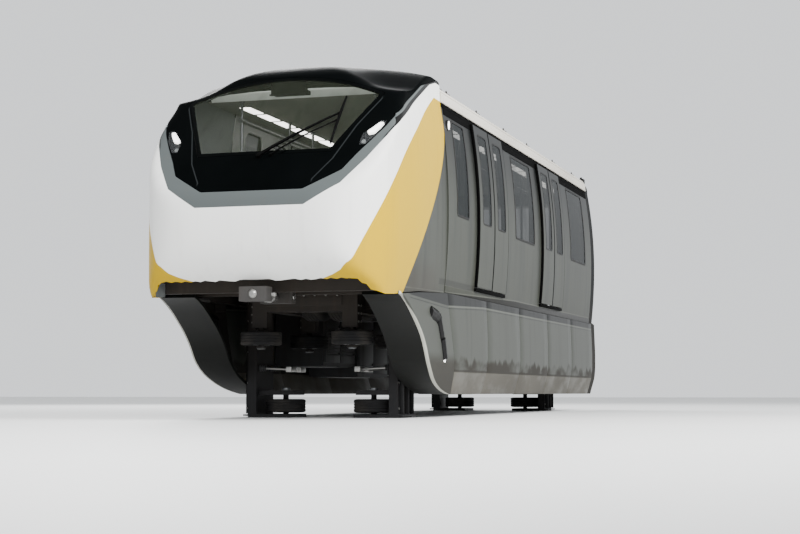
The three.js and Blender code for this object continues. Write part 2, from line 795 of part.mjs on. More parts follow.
function frontSkirt(sign) {
  const rake = (shift) => {
    const [toe, knee, head] = [SKIRT_TOE, SKIRT_KNEE, SKIRT_HEAD].map(([x, z]) => [x - shift, z]);
    return [toe, ...bend(toe, knee, head, 7)];
  };
  const outline = [[SKIRT_JOINT.low, SKIRT_BOTTOM], ...rake(0), ...SKIRT_TOP];
  const hollow = [
    [BEHIND_SKIRT, UNDER_SKIRT],
    [SKIRT_TOE[0] - RAKE_WALL, UNDER_SKIRT],
    ...rake(RAKE_WALL),
    [SKIRT_HEAD[0] - RAKE_WALL, OVER_SKIRT],
    [BEHIND_SKIRT, OVER_SKIRT],
  ];
  const planOf = (inset) => alongZ(nosePlan(inset, BEHIND_SKIRT), UNDER_SKIRT, OVER_SKIRT);
  const bulk = skirtBand(sign, 0, -SKIRT_DEPTH).intersect(planOf(2 * SEAM));
  const inner = skirtBand(sign, -SKIRT_WALL, -SKIRT_DEPTH - SKIRT_WALL).intersect(
    planOf(2 * SEAM + SKIRT_WALL),
  );
  const way = sideBlock(sign, [BEHIND_SKIRT, PAST_NOSE], [0, SKIRT_OPENING], [UNDER_SKIRT, OVER_SKIRT]);
  return bulk
    .intersect(throughSides(outline))
    .subtract(inner.intersect(throughSides(hollow)))
    .subtract(way);
}

// Boxes of electrical equipment, hung between the bogies behind the skirts
const BOX_OUTER = 1400;
const BOX_TOP = SOLEBAR_BOTTOM - TOUCH;
const EQUIPMENT = [
  { from: -3180, to: -1950, inner: 640, outer: BOX_OUTER, bottom: 620, top: BOX_TOP },
  { from: -1960, to: -640, inner: 700, outer: BOX_OUTER, bottom: 760, top: BOX_TOP },
  { from: -650, to: 820, inner: 640, outer: BOX_OUTER, bottom: 560, top: BOX_TOP },
  { from: 810, to: 2200, inner: 680, outer: BOX_OUTER, bottom: 700, top: BOX_TOP },
];

// Bogie frame: a ring above the beam, legs down its sides, arms and spindles for the side tyres
const RING = { halfLength: 950, half: 580, bottom: 1330, top: 1600 };
const RING_HOLE = { halfLength: 620, half: 420 };
const LEG_OUTER = 1020;
const AXLE_PLATE = [{ from: -170, to: 170, inner: 420, outer: 525, bottom: 1590, top: 1900 }];
const LEG = [
  { from: -300, to: 300, inner: 570, outer: LEG_OUTER, bottom: 1390, top: RING.top },
  { from: -300, to: 300, inner: 900, outer: LEG_OUTER, bottom: 0, top: 1400 },
  { from: -220, to: 220, inner: 430, outer: 910, bottom: 290, top: 350 },
  { from: -300, to: 300, inner: 430, outer: LEG_OUTER, bottom: 0, top: 44 },
];
const STABILISER_SPINDLE = [30, 300];
const ARM = { halfLength: 80, inner: 500, outer: 700, bottom: 1130 };
const GUIDE_SPINDLE = [895, 1140];
const SPINDLE_CAP = { radius: 64, span: [880, 905] };

function bogieFrame() {
  const ring = block(
    [-RING.halfLength, RING.halfLength],
    [-RING.half, RING.half],
    [RING.bottom, RING.top],
  ).subtract(
    block(
      [-RING_HOLE.halfLength, RING_HOLE.halfLength],
      [-RING_HOLE.half, RING_HOLE.half],
      [RING.bottom - WALL, RING.top + WALL],
    ),
  );
  const bore = AXLE_RADIUS + RUNNING_GAP;
  const axleHole = rodAlongY(bore, 0, [-RING.halfLength, RING.halfLength], AXLE_HEIGHT, 16);
  const sides = SIDES.flatMap(({ sign }) => {
    const y = sign * SIDE_TYRE_Y;
    return [
      sideBlocks(sign, AXLE_PLATE).subtract(axleHole),
      sideBlocks(sign, LEG),
      rodAlongZ(SPINDLE_RADIUS, 0, y, STABILISER_SPINDLE, ROD_SEGMENTS),
    ];
  });
  const arms = [GUIDE_X, -GUIDE_X].flatMap((x) =>
    SIDES.flatMap(({ sign }) => {
      const y = sign * SIDE_TYRE_Y;
      const length = [x - ARM.halfLength, x + ARM.halfLength];
      return [
        sideBlock(sign, length, [ARM.inner, ARM.outer], [ARM.bottom, RING.top]),
        rodAlongZ(SPINDLE_RADIUS, x, y, GUIDE_SPINDLE, ROD_SEGMENTS),
        rodAlongZ(SPINDLE_CAP.radius, x, y, SPINDLE_CAP.span, ROD_SEGMENTS),
      ];
    }),
  );
  return joined([ring, ...sides, ...arms]);
}

// Traction motor on the bogie's inner end
const MOTOR = { near: RING.halfLength + TOUCH, far: 1400, half: 270, bottom: 1290, top: 1595 };

function motor(inward) {
  const span = [inward * MOTOR.near, inward * MOTOR.far];
  return block(span, [-MOTOR.half, MOTOR.half], [MOTOR.bottom, MOTOR.top]);
}

// Wheels are turned about their axle, from half a section: radius, and place along the axle
const LOAD_SECTION = [
  [0, -560],
  [85, -560],
  [85, -531],
  [AXLE_RADIUS, -531],
  [AXLE_RADIUS, -405],
  [150, -405],
  [150, -230],
  [285, -318],
  [450, -336],
  [LOAD_RADIUS, -300],
  [LOAD_RADIUS, -64],
  [450, -30],
  [200, -30],
];
const SIDE_TYRE_SECTION = [
  [SPINDLE_RADIUS + RUNNING_GAP, -84],
  [108, -84],
  [140, -34],
  [170, -88],
  [SIDE_TYRE_RADIUS - 22, -84],
  [SIDE_TYRE_RADIUS, -52],
];

function turned(half, segments, closing = []) {
  const other = half.map(([radius, place]) => [radius, -place]).reverse();
  const points = [...half, ...other, ...closing].map(
    ([radius, place]) => new THREE.Vector2(radius, place),
  );
  return new THREE.LatheGeometry(points, segments);
}

function loadWheelset() {
  return solid(turned(LOAD_SECTION, LOAD_TYRE_SEGMENTS).translate(0, 0, AXLE_HEIGHT));
}

function sideWheel(x, y, z) {
  const wheel = turned(SIDE_TYRE_SECTION, SIDE_TYRE_SEGMENTS, [SIDE_TYRE_SECTION[0]]);
  return solid(wheel.rotateX(Math.PI / 2).translate(x, y, z));
}

// Assembly
const group = new THREE.Group();
group.name = "monorail_car";
const lampHoles = lampField(1, 0).add(lampField(-1, 0));
const frontMask = noseWall.intersect(maskField(SEAM)).subtract(screenField(0)).subtract(lampHoles);

addPart(group, "underframe", underframe(), STEEL_BLACK);
addPart(group, "roof", roof(), CREAM);
addPart(group, "nose_shell", noseWall.subtract(maskField(0)), WHITE);
addPart(group, "front_mask", frontMask, MASK_BLACK);
addPart(group, "windscreen", noseSkin(SCREEN_DEPTH).intersect(screenField(SEAM)), glass);
addPart(group, "end_wall", endWall(), INTERIOR);
addPart(group, "gangway", gangway(), BELLOWS_GREY);
addPart(group, "drawbar", drawgear(DRAWBAR), MACHINE_GREY);
addPart(group, "coupler", drawgear(COUPLER), MACHINE_GREY);
addPart(group, "control_desk", controlDesk(), INTERIOR);

for (const { name, sign } of SIDES) {
  addPart(group, `grab_rail_${name}`, grabRail(sign), STAINLESS);
  addPart(group, `side_wall_${name}`, sideWall(sign), SIDE_GREY);
  addPart(group, `side_skirt_${name}`, sideSkirt(sign), SKIRT_GREY);
  addPart(group, `front_skirt_${name}`, frontSkirt(sign), SKIRT_GREY);
  addPart(group, `equipment_${name}`, sideBlocks(sign, EQUIPMENT), MACHINE_GREY);
  addPart(group, `wall_bench_${name}`, wallBench(sign), SEAT);
  const lens = noseSkin(LENS_DEPTH).intersect(lampField(sign, SEAM));
  addPart(group, `headlight_${name}`, lens, LENS);
  for (const place of WINDOWS) {
    addPart(group, `window_${place.name}_${name}`, windowPane(sign, place), glass);
  }
  for (const { name: doorway, centre } of DOORWAYS) {
    const ahead = centre + LEAF_MEETING_GAP;
    const behind = centre - LEAF_MEETING_GAP - LEAF_WIDTH;
    const door = `door_${doorway}_${name}`;
    addPart(group, `${door}_ahead`, doorLeaf(sign, ahead), SIDE_GREY);
    addPart(group, `${door}_behind`, doorLeaf(sign, behind), SIDE_GREY);
  }
}

for (const { name, x, inward } of BOGIES) {
  const bogie = new THREE.Group();
  bogie.position.x = x;
  group.add(bogie);
  addPart(group, `seat_island_${name}`, seatIsland(), SEAT).position.x = x;
  addPart(bogie, `bogie_frame_${name}`, bogieFrame(), STEEL_BLACK);
  addPart(bogie, `motor_${name}`, motor(inward), MACHINE_GREY);
  addPart(bogie, `load_wheelset_${name}`, loadWheelset(), TYRE_BLACK);
  for (const { name: side, sign } of SIDES) {
    const y = sign * SIDE_TYRE_Y;
    const guide = `guide_wheel_${name}_${side}`;
    addPart(bogie, `${guide}_ahead`, sideWheel(GUIDE_X, y, GUIDE_HEIGHT), TYRE_BLACK);
    addPart(bogie, `${guide}_behind`, sideWheel(-GUIDE_X, y, GUIDE_HEIGHT), TYRE_BLACK);
    const stabiliser = `stabiliser_wheel_${name}_${side}`;
    addPart(bogie, stabiliser, sideWheel(0, y, STABILISER_HEIGHT), TYRE_BLACK);
  }
}

export default group;
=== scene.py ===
import json
import math

import bmesh
import bpy
import numpy as np
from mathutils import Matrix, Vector

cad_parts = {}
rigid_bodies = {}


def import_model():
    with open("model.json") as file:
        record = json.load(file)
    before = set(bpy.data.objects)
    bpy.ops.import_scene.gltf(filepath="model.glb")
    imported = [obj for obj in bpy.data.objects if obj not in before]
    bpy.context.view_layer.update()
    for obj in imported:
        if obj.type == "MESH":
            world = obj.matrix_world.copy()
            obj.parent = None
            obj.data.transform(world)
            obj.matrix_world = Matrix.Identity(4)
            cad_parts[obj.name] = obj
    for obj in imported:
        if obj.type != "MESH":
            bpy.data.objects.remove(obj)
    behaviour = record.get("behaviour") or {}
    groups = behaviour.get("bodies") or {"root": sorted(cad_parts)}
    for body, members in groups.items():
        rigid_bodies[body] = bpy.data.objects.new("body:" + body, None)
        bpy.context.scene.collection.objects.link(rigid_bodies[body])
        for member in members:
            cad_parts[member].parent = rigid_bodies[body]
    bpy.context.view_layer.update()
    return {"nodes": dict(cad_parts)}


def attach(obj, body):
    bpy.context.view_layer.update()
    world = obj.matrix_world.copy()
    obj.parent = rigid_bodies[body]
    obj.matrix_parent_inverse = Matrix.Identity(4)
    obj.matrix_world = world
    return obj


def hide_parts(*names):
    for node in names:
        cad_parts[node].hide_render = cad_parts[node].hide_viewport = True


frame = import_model()
nodes = frame["nodes"]

# Stage: a pale seamless floor, a soft overcast dome and three large soft lamps.
# The camera stands at floor level ahead of the car's left corner, where the real car
# is seen from, and looks up at it.
HORIZON = (0.78, 0.8, 0.82, 1)
DOME_STRENGTH = 1.5
CAMERA_PLACE = (24.0, 7.2, 0.32)
CAMERA_TARGET = (0.75, 0.0, 2.18)
CAMERA_LENS = 74
SIGHT_RANGE = 400

scene_objects = bpy.context.scene.collection.objects
world = bpy.data.worlds.new("soft_dome")
bpy.context.scene.world = world
world.use_nodes = True
world.node_tree.nodes["Background"].inputs["Color"].default_value = HORIZON
world.node_tree.nodes["Background"].inputs["Strength"].default_value = DOME_STRENGTH


def set_up(name, data, place, target):
    """Puts a lamp or the camera in its place, facing its target."""
    thing = bpy.data.objects.new(name, data)
    scene_objects.link(thing)
    thing.location = place
    thing.rotation_mode = "QUATERNION"
    thing.rotation_quaternion = (Vector(target) - Vector(place)).to_track_quat("-Z", "Y")
    return thing


def soft_lamp(name, place, target, size, power):
    """A large rectangular lamp that faces its target."""
    data = bpy.data.lights.new(name, "AREA")
    data.shape = "RECTANGLE"
    data.size, data.size_y = size
    data.energy = power
    set_up(name, data, place, target)


soft_lamp("key_lamp", (8, 15, 13), (0, 1, 2.2), (14, 8), 8500)
soft_lamp("nose_lamp", (19, 7, 9), (5, 0, 2.5), (8, 6), 2600)
soft_lamp("back_lamp", (-14, -10, 12), (-3, 0, 2.5), (12, 8), 4500)

camera = set_up("camera", bpy.data.cameras.new("camera"), CAMERA_PLACE, CAMERA_TARGET)
bpy.context.scene.camera = camera
camera.data.lens = CAMERA_LENS
camera.data.clip_end = SIGHT_RANGE


# Finishes: each is one shader, worked out from the place on the car in metres.
# The same dust, streaks and polish marks then run across neighbouring panels as they
# do on a washed but weathered train.
def colour(red, green, blue):
    """A screen colour, 0 to 255, as the linear colour that shaders take."""
    parts = [value / 255 for value in (red, green, blue)]
    return (*[p / 12.92 if p <= 0.04045 else ((p + 0.055) / 1.055) ** 2.4 for p in parts], 1)


SOFT_SHEEN = 0.15


class Field:
    """One output of a shader tree, which can be used in sums like a number."""

    def __init__(self, tree, socket=None):
        self.tree = tree
        self.socket = socket

    def node(self, kind, settings, values, output=0):
        """Any other node: its type, its settings, and the values or links of its sockets."""
        made = self.tree.nodes.new("ShaderNode" + kind)
        for key, value in settings.items():
            setattr(made, key, value)
        for key, value in values.items():
            if isinstance(value, Field):
                self.tree.links.new(value.socket, made.inputs[key])
            else:
                made.inputs[key].default_value = value
        return Field(self.tree, made.outputs[output])

    def math(self, operation, *others):
        """One step of arithmetic on this field and the others."""
        values = dict(enumerate((self, *others)))
        return self.node("Math", {"operation": operation}, values)

    def __add__(self, other):
        return self.math("ADD", other)

    def __mul__(self, other):
        return self.math("MULTIPLY", other)

    def __sub__(self, other):
        return self.math("SUBTRACT", other)

    def __rsub__(self, other):
        return self.math("MULTIPLY_ADD", -1.0, other)

    def __abs__(self):
        return self.math("ABSOLUTE")

    __radd__ = __add__
    __rmul__ = __mul__

    def least(self, other):
        """The smaller of two fields."""
        return self.math("MINIMUM", other)

    def most(self, other):
        """The larger of two fields."""
        return self.math("MAXIMUM", other)

    def rise(self, low, high):
        """0 below low, 1 above high, and a smooth step between them; low may be above high."""
        settings = {"interpolation_type": "SMOOTHSTEP"}
        if low > high:
            return 1 - self.rise(high, low)
        return self.node("MapRange", settings, {0: self, 1: low, 2: high})

    def near(self, centre, half, soft):
        """1 within half of the centre value, and 0 beyond that and the soft edge."""
        return 1 - abs(self - centre).rise(half, half + soft)


class Finish:
    """A material and the fields that its colours are worked out from."""

    def __init__(self, name, base, rough, **constants):
        self.material = bpy.data.materials.new(name)
        self.material.use_nodes = True
        tree = self.material.node_tree
        self.shader = tree.nodes["Principled BSDF"]
        self.start = Field(tree)
        self.base = base
        self.rough = rough
        self.shader.inputs["Base Color"].default_value = base
        self.shader.inputs["Roughness"].default_value = rough
        self.shader.inputs["Specular IOR Level"].default_value = SOFT_SHEEN
        for key, value in constants.items():
            self.shader.inputs[key.replace("_", " ")].default_value = value
        self.place = self.start.node("TexCoord", {}, {}, "Object")
        split = {0: self.place}
        axes = [self.start.node("SeparateXYZ", {}, split, axis) for axis in range(3)]
        self.x, self.y, self.z = axes

    def noise(self, scale, stretch=(1, 1, 1), detail=3.0, seed=0.0):
        """Cloudy values from 0 to 1; a stretch below 1 along an axis draws them out there."""
        settings = {"operation": "MULTIPLY_ADD"}
        drawn = {0: self.place, 1: stretch, 2: (seed, 1.7 * seed, 2.3 * seed)}
        moved = self.start.node("VectorMath", settings, drawn)
        values = {"Vector": moved, "Scale": scale, "Detail": detail}
        return self.start.node("TexNoise", {}, values)

    def blend(self, mask, under, over):
        """The under colour where the mask is 0 and the over colour where it is 1."""
        values = {0: mask, 6: under, 7: over}
        settings = {"data_type": "RGBA", "clamp_factor": True}
        return self.start.node("Mix", settings, values, 2)

    def set(self, name, value):
        """Drives one socket of the shader with a field."""
        self.start.tree.links.new(value.socket, self.shader.inputs[name])

    def emboss(self, height, depth):
        """Raises the surface by the height field times the depth in metres."""
        values = {"Height": height, "Distance": depth, "Strength": 1.0}
        self.set("Normal", self.start.node("Bump", {}, values))

    def paint(self, mask, under, over):
        """Colours the finish with the under colour, and the over colour where the mask is 1."""
        self.set("Base Color", self.blend(mask, under, over))

    def grain(self, scale, depth, detail=3.0):
        """A fine even grain of the depth in metres."""
        self.emboss(self.noise(scale, (1, 1, 1), detail), depth)

    def scuff(self, scale, spread, lowest, stretch=(1, 1, 1)):
        """Cloudy roughness, from the lowest value up by the spread."""
        self.set("Roughness", self.noise(scale, stretch) * spread + lowest)

    def weather(self, dust, amount, low, high, streaks, base=None):
        """Dust that thickens downwards, and rain streaks, over the base colour."""
        cloud = self.noise(1.6, (1, 1, 0.6), 5.0, 3.1)
        runs = self.noise(9.0, (1, 1, 0.06), 3.0, 7.7).rise(0.5, 0.74)
        settled = self.z.rise(high, low) * (cloud * 1.3 + 0.25)
        film = (settled * amount + runs * cloud * streaks).least(1.0)
        self.paint(film, self.base if base is None else base, dust)
        self.set("Roughness", (film * 0.35 + self.rough).least(1.0))


def wear(node, finish):
    """Gives a part that is kept from the frame its finish."""
    nodes[node].data.materials.clear()
    nodes[node].data.materials.append(finish.material)


ROAD_DUST = colour(84, 77, 67)
OILY_DUST = colour(58, 52, 46)

floor_finish = Finish("pale_floor", colour(214, 214, 212), 0.55)
floor_cloud = floor_finish.noise(0.35, (1, 1, 1), 4.0)
floor_finish.paint(floor_cloud, colour(216, 216, 214), colour(206, 207, 207))


def new_piece(name, points, faces, finish):
    """A mesh object at the origin, with its place in its points."""
    mesh = bpy.data.meshes.new(name)
    mesh.from_pydata([tuple(map(float, p)) for p in points], [], [tuple(f) for f in faces])
    mesh.validate()
    piece = bpy.data.objects.new(name, mesh)
    scene_objects.link(piece)
    mesh.materials.append(finish.material)
    mesh.shade_smooth()
    return piece


FLOOR_REACH = 90
corners = ((-1, -1), (1, -1), (1, 1), (-1, 1))
floor = new_piece(
    "floor",
    [(FLOOR_REACH * x, FLOOR_REACH * y, 0) for x, y in corners],
    [(0, 1, 2, 3)],
    floor_finish,
)

# Livery: gloss paint in white, yellow and grey over the nose, the walls and the doors.
# The yellow sweep rises from the front corner to the roof, and a grey band follows the
# lower edge of the black mask.
WHITE = colour(228, 228, 225)
YELLOW = colour(176, 143, 0)
BODY_GREY = colour(53, 55, 50)
BODY_SHADE = colour(42, 44, 41)
BODY_TOP_SHADE = colour(16, 18, 18)
SILL_SHADE = colour(12, 13, 12)
SILL_HIGHLIGHT = colour(72, 74, 68)
BAND_GREY = colour(74, 79, 79)
JOINT_BLACK = colour(12, 12, 12)
NOSE_JOINT = 3.690
SWEEP_TOP = 4.085
SWEEP_FRONT = (
    (1.82, 6.50), (2.36, 6.24), (2.96, 5.77), (3.31, 5.36), (3.53, 5.02), (3.77, 4.59),
    (3.96, 4.27),
)
SWEEP_REAR = (
    (1.52, 5.515), (2.13, 4.90), (2.79, 4.24), (3.12, 3.97), (3.43, 3.77), (3.71, 3.67),
    (4.08, 3.68),
)
# Half width, height and slope of each straight piece of the band's outer edge.
BAND_OUTER = (
    (0.67, 2.45, 0.0),
    (0.67, 2.45, 0.625),
    (1.07, 2.70, 1.40),
    (1.28, 2.99, 1.80),
    (1.451, 3.296, 2.35),
)
MASK_SHOULDER = (
    (5.690, 3.600), (5.600, 3.650), (5.440, 3.740), (5.200, 3.853), (4.600, 4.130), (3.780, 4.345)
)
BAND_SHOULDER = (
    (5.752, 3.468), (5.623, 3.545), (4.731, 3.971), (4.191, 4.215), (3.887, 4.293), (3.690, 4.293)
)
FRONT_LINE = 0.045
SHOULDER_LINE = 0.062
PAINT_EDGE = 0.004
# Half width, height and slope of each straight piece of the white chin's edge.
CHIN_LIMIT = ((0.815, 1.620, 3.3), (0.95, 1.66, 2.28), (1.07, 1.715, 1.06), (1.185, 1.825, 0.41))


def sweep_line(height, table):
    """The place along the car of one edge of the yellow sweep, as a curve over the height."""
    z, x = np.array(table).T
    total = 0.0
    for factor in np.polyfit(z, x, 3):
        total = total * height + float(factor)
    return total


livery = Finish("livery_paint", BODY_GREY, 0.36, Specular_IOR_Level=0.08)
ahead_of_front = (livery.x - sweep_line(livery.z, SWEEP_FRONT)).rise(-PAINT_EDGE, PAINT_EDGE)
ahead_of_rear = (livery.x - sweep_line(livery.z, SWEEP_REAR)).rise(-PAINT_EDGE, PAINT_EDGE)
above_sweep = livery.z.rise(SWEEP_TOP - PAINT_EDGE, SWEEP_TOP + PAINT_EDGE)
half_place = abs(livery.y)
band_edge = half_place * 0.0 + BAND_OUTER[0][1]
for y, z, slope in BAND_OUTER[1:]:
    band_edge = band_edge.most((half_place - y) * slope + z)
shoulder = livery.x * 0.0 + BAND_SHOULDER[-1][1]
for (x, z), (next_x, next_z) in zip(BAND_SHOULDER, BAND_SHOULDER[1:]):
    shoulder = shoulder.least((livery.x - x) * ((next_z - z) / (next_x - x)) + z)
over_front = livery.z - band_edge
over_side = livery.z - shoulder
on_front = livery.x.rise(5.72, 5.80)
over_band = over_side + (over_front - over_side) * on_front
ahead_of_joint = livery.x.rise(NOSE_JOINT - 0.002, NOSE_JOINT)
on_band = over_band.rise(-0.003, 0.003) * ahead_of_joint
line_width = on_front * (FRONT_LINE - SHOULDER_LINE) + SHOULDER_LINE
on_line = (over_band - line_width).rise(PAINT_EDGE, 0.0).most(livery.x.rise(3.95, 3.90))
joint_line = on_band * on_line * livery.z.rise(3.22, 3.34)
chin = None
for y, z, slope in CHIN_LIMIT:
    limit = (livery.z - z) * slope + y
    chin = limit if chin is None else chin.least(limit)
on_chin = (chin.least(1.45) - half_place).rise(-PAINT_EDGE, PAINT_EDGE)
rain_marks = livery.noise(7.0, (1, 1, 0.05), 3.0, 1.3).rise(0.42, 0.7)
wall_grey = livery.blend(rain_marks * 0.7, BODY_GREY, BODY_SHADE)
# Painted shade: the grey wall darkens towards the top, under the roof's edge.
wall_grey = livery.blend(livery.z.rise(2.5, 4.05), wall_grey, BODY_TOP_SHADE)
# Painted shade: a dark band along the sill and a fainter dark zone above it at the front; a painted
# highlight runs along the band's upper edge.
sill_line = 1.69 - (livery.x + 0.2).most(0.0) * 0.024
behind_joint = livery.x.rise(NOSE_JOINT, NOSE_JOINT - 0.002)
on_sill = (livery.z - sill_line).rise(0.003, -0.003) * behind_joint
over_sill = livery.z.near(1.735, 0.035, 0.006) * livery.x.near(2.7, 1.25, 0.05) * 0.45
wall_grey = livery.blend(over_sill, wall_grey, SILL_SHADE)
wall_grey = livery.blend(on_sill, wall_grey, SILL_SHADE)
wall_grey = livery.blend((livery.z - sill_line).near(0.012, 0.005, 0.003), wall_grey, SILL_HIGHLIGHT)
smudge = livery.noise(2.5, (1, 1, 1), 4.0, 3.3) * livery.z.rise(2.05, 1.60)
smudge = smudge * livery.x.near(4.75, 0.25, 0.7)
wall_grey = livery.blend(smudge, wall_grey, colour(40, 34, 28))
on_nose = livery.blend(ahead_of_rear * ahead_of_joint, wall_grey, YELLOW)
on_nose = livery.blend(ahead_of_front.most(above_sweep).most(on_chin), on_nose, WHITE)
on_nose = livery.blend(on_band, on_nose, BAND_GREY)
on_nose = livery.blend(joint_line, on_nose, JOINT_BLACK)
livery.weather(ROAD_DUST, 0.16, 0.5, 2.4, 0.12, on_nose)

# Nose: a moulded shell over the cab. Its section, plan and side profile are three plain
# outlines that cut each other, with rounded edges where they meet, and the black mask
# around the screen is a second moulding let into it with a narrow joint.
WIDEST_HEIGHT = 2.700
HALF_WIDTH = 1.570
LOWER_WALL_RADIUS = 9.340
UPPER_WALL_RADIUS = 7.860
CANTRAIL = 4.050
ROOF_FORM = (4.290, (1.300, 4.318), 4.385)
NOSE_ROOF = (4.340, (1.436, 4.345), 4.508)
NOSE_THICKNESS = 0.05
MASK_GAP = 0.0025
SIDE_ROUNDING = 0.16
EDGE_ROUNDING = 0.09
NOSE_HEM = (
    (3.6, 1.600), (4.9, 1.550), (5.523, 1.500), (5.816, 1.466), (6.083, 1.452), (6.195, 1.488),
    (6.385, 1.63), (6.8, 1.66),
)
SCREEN_FOOT = (6.555, 2.640)
SCREEN_HEAD = (5.330, 4.200)
BROW_PLACE = (4.000, 5.500)
BROW_SINK = 0.480
BROW_HALF = 1.376
SINK_HEIGHTS = (3.480, 4.072)
SCREEN_BOW = 0.154
BOW_HALF = 1.340
NOSE_SWELL = 0.04
NOSE_CENTRE = np.array((4.3, 0.0, 2.75))
NOSE_AXIS = np.array((1.587, 0.0, 0.70))
NOSE_REACH = 4.5
NOSE_RINGS = 130
NOSE_SPOKES = 320
HALVINGS = 24


def half_width(z):
    """Half the body's width at a height: two arcs that meet at the widest height."""
    rise = np.asarray(z, float) - WIDEST_HEIGHT
    radius = np.where(rise > 0, UPPER_WALL_RADIUS, LOWER_WALL_RADIUS)
    return HALF_WIDTH - rise**2 / (2 * radius)


def bend(start, corner, end, steps=10):
    """Points of a curve that leaves start towards the corner and arrives at end from it."""
    t = np.linspace(0, 1, steps + 1)[:, None]
    start, corner, end = (np.array(p, float) for p in (start, corner, end))
    return (1 - t) ** 2 * start + 2 * t * (1 - t) * corner + t**2 * end


def roof_curve(edge, form):
    """Gutter, shoulder and crown of the left half of a roof, from the edge to the middle."""
    corner, turn, crown = form
    shoulder = bend((edge - 0.004, 4.122), (edge - 0.008, corner), turn)
    return np.vstack([[(edge, 4.060)], shoulder, bend(turn, (0.850, crown), (0, crown))[1:]])


def closed_ring(half):
    """The left half of an outline and its mirror image, as one closed ring."""
    half = np.asarray(half, float)
    return np.vstack([half, (half * (-1, 1))[::-1]])


def outline_field(outline, low, high, step=0.012):
    """Distance from a closed outline, below zero inside it, read off a fine table."""
    across = np.arange(low[0], high[0] + step, step)
    up = np.arange(low[1], high[1] + step, step)
    grid = np.stack(np.meshgrid(across, up, indexing="ij"), -1)
    nearest = np.full(grid.shape[:2], np.inf)
    inside = np.zeros(grid.shape[:2], bool)
    ring = np.asarray(outline, float)
    for start, end in zip(ring, np.roll(ring, -1, 0)):
        edge = end - start
        if not edge.any():
            continue
        gap = grid - start
        along = np.clip(gap @ edge / (edge @ edge), 0, 1)[..., None]
        nearest = np.minimum(nearest, np.linalg.norm(gap - along * edge, axis=-1))
        if edge[1]:
            reach = start[0] + (grid[..., 1] - start[1]) * edge[0] / edge[1]
            level = (start[1] > grid[..., 1]) != (end[1] > grid[..., 1])
            inside ^= level & (grid[..., 0] < reach)
    table = np.where(inside, -nearest, nearest)

    def distance(first, second):
        i = np.clip((first - low[0]) / step, 0, len(across) - 1.001)
        j = np.clip((second - low[1]) / step, 0, len(up) - 1.001)
        i0, j0 = i.astype(int), j.astype(int)
        u, v = i - i0, j - j0
        lower = table[i0, j0] * (1 - u) + table[i0 + 1, j0] * u
        upper = table[i0, j0 + 1] * (1 - u) + table[i0 + 1, j0 + 1] * u
        return lower * (1 - v) + upper * v

    return distance


def rounded(first, second, radius):
    """Two distances that cut each other, with the edge between them rounded off."""
    overlap = np.maximum(radius - np.abs(first - second), 0)
    return np.maximum(first, second) + overlap**2 / (4 * radius)


section_heights = np.linspace(1.25, CANTRAIL, 40)
section_half = np.vstack(
    [
        np.column_stack([half_width(section_heights), section_heights]),
        roof_curve(half_width(CANTRAIL), NOSE_ROOF),
    ]
)
plan_half = np.vstack(
    [
        [(6.673, 0)],
        bend((6.669, 0.670), (6.604, 1.420), (5.785, 1.532), 20),
        bend((5.785, 1.532), (5.200, 1.580), (4.400, 1.600))[1:],
        [(2.9, 1.650)],
    ]
)
profile = np.vstack(
    [
        [(2.9, 0.9), (5.45, 0.9), (5.95, 1.30)],
        bend((6.385, 1.630), (6.650, 1.830), (6.665, 2.250)),
        bend((6.665, 2.250), (6.665, 2.480), SCREEN_FOOT)[1:],
        bend(SCREEN_HEAD, (5.080, 4.408), (4.100, NOSE_ROOF[2] + 0.002)),
        [(2.9, NOSE_ROOF[2] + 0.002)],
    ]
)
section_field = outline_field(closed_ring(section_half), (-0.1, 1.0), (2.0, 4.9))
plan_field = outline_field(
    np.vstack([plan_half, (plan_half * (1, -1))[::-1]]), (2.8, -0.1), (7.0, 2.0)
)
profile_field = outline_field(profile, (2.8, 1.0), (7.0, 4.9))


def ease(values, low, high):
    """0 below low, 1 above high, and a smooth step between them."""
    share = np.clip((values - low) / (high - low), 0, 1)
    return share * share * (3 - 2 * share)


def brow_sink(x, half, z):
    """How far the roof's shoulders sink towards the brow, so that the crown is an arch."""
    return BROW_SINK * ease(x, *BROW_PLACE) * ease(half, 0, BROW_HALF) * ease(z, *SINK_HEIGHTS)


def nose_distance(points):
    """Distance from the nose's surface, below zero inside: three outlines cut each other."""
    x, y, z = points.T
    sunk = z + brow_sink(x, abs(y), z)
    half = abs(y) - NOSE_SWELL * ease(x, 3.75, 5.25)
    side = rounded(section_field(half, sunk), plan_field(x, half), SIDE_ROUNDING)
    upwards = np.clip((z - SCREEN_FOOT[1]) / (SCREEN_HEAD[1] - SCREEN_FOOT[1]), 0, 1)
    bowed = x + SCREEN_BOW * upwards * (y / BOW_HALF) ** 2
    return rounded(side, profile_field(bowed, z), EDGE_ROUNDING)


def cast(origins, directions, reach, distance):
    """The points where rays from inside leave the shape that the distance describes."""
    near, far = np.zeros(len(origins)), np.full(len(origins), float(reach))
    for _ in range(HALVINGS):
        middle = (near + far) / 2
        outside = distance(origins + middle[:, None] * directions) > 0
        near, far = np.where(outside, near, middle), np.where(outside, middle, far)
    return origins + near[:, None] * directions


def even_points(ring, count):
    """The same closed ring with evenly spaced points."""
    closed = np.vstack([ring, ring[:1]])
    run = np.append(0, np.cumsum(np.linalg.norm(np.diff(closed, axis=0), axis=1)))
    places = np.linspace(0, run[-1], count, endpoint=False)
    return np.column_stack([np.interp(places, run, closed[:, i]) for i in (0, 1)])


def section_at(x, outline):
    """An outline of (side place, height) as points at one place along the car."""
    return np.column_stack([np.full(len(outline), x), outline])


def unit(vectors):
    """The same directions with length 1."""
    return vectors / np.linalg.norm(vectors, axis=-1, keepdims=True)


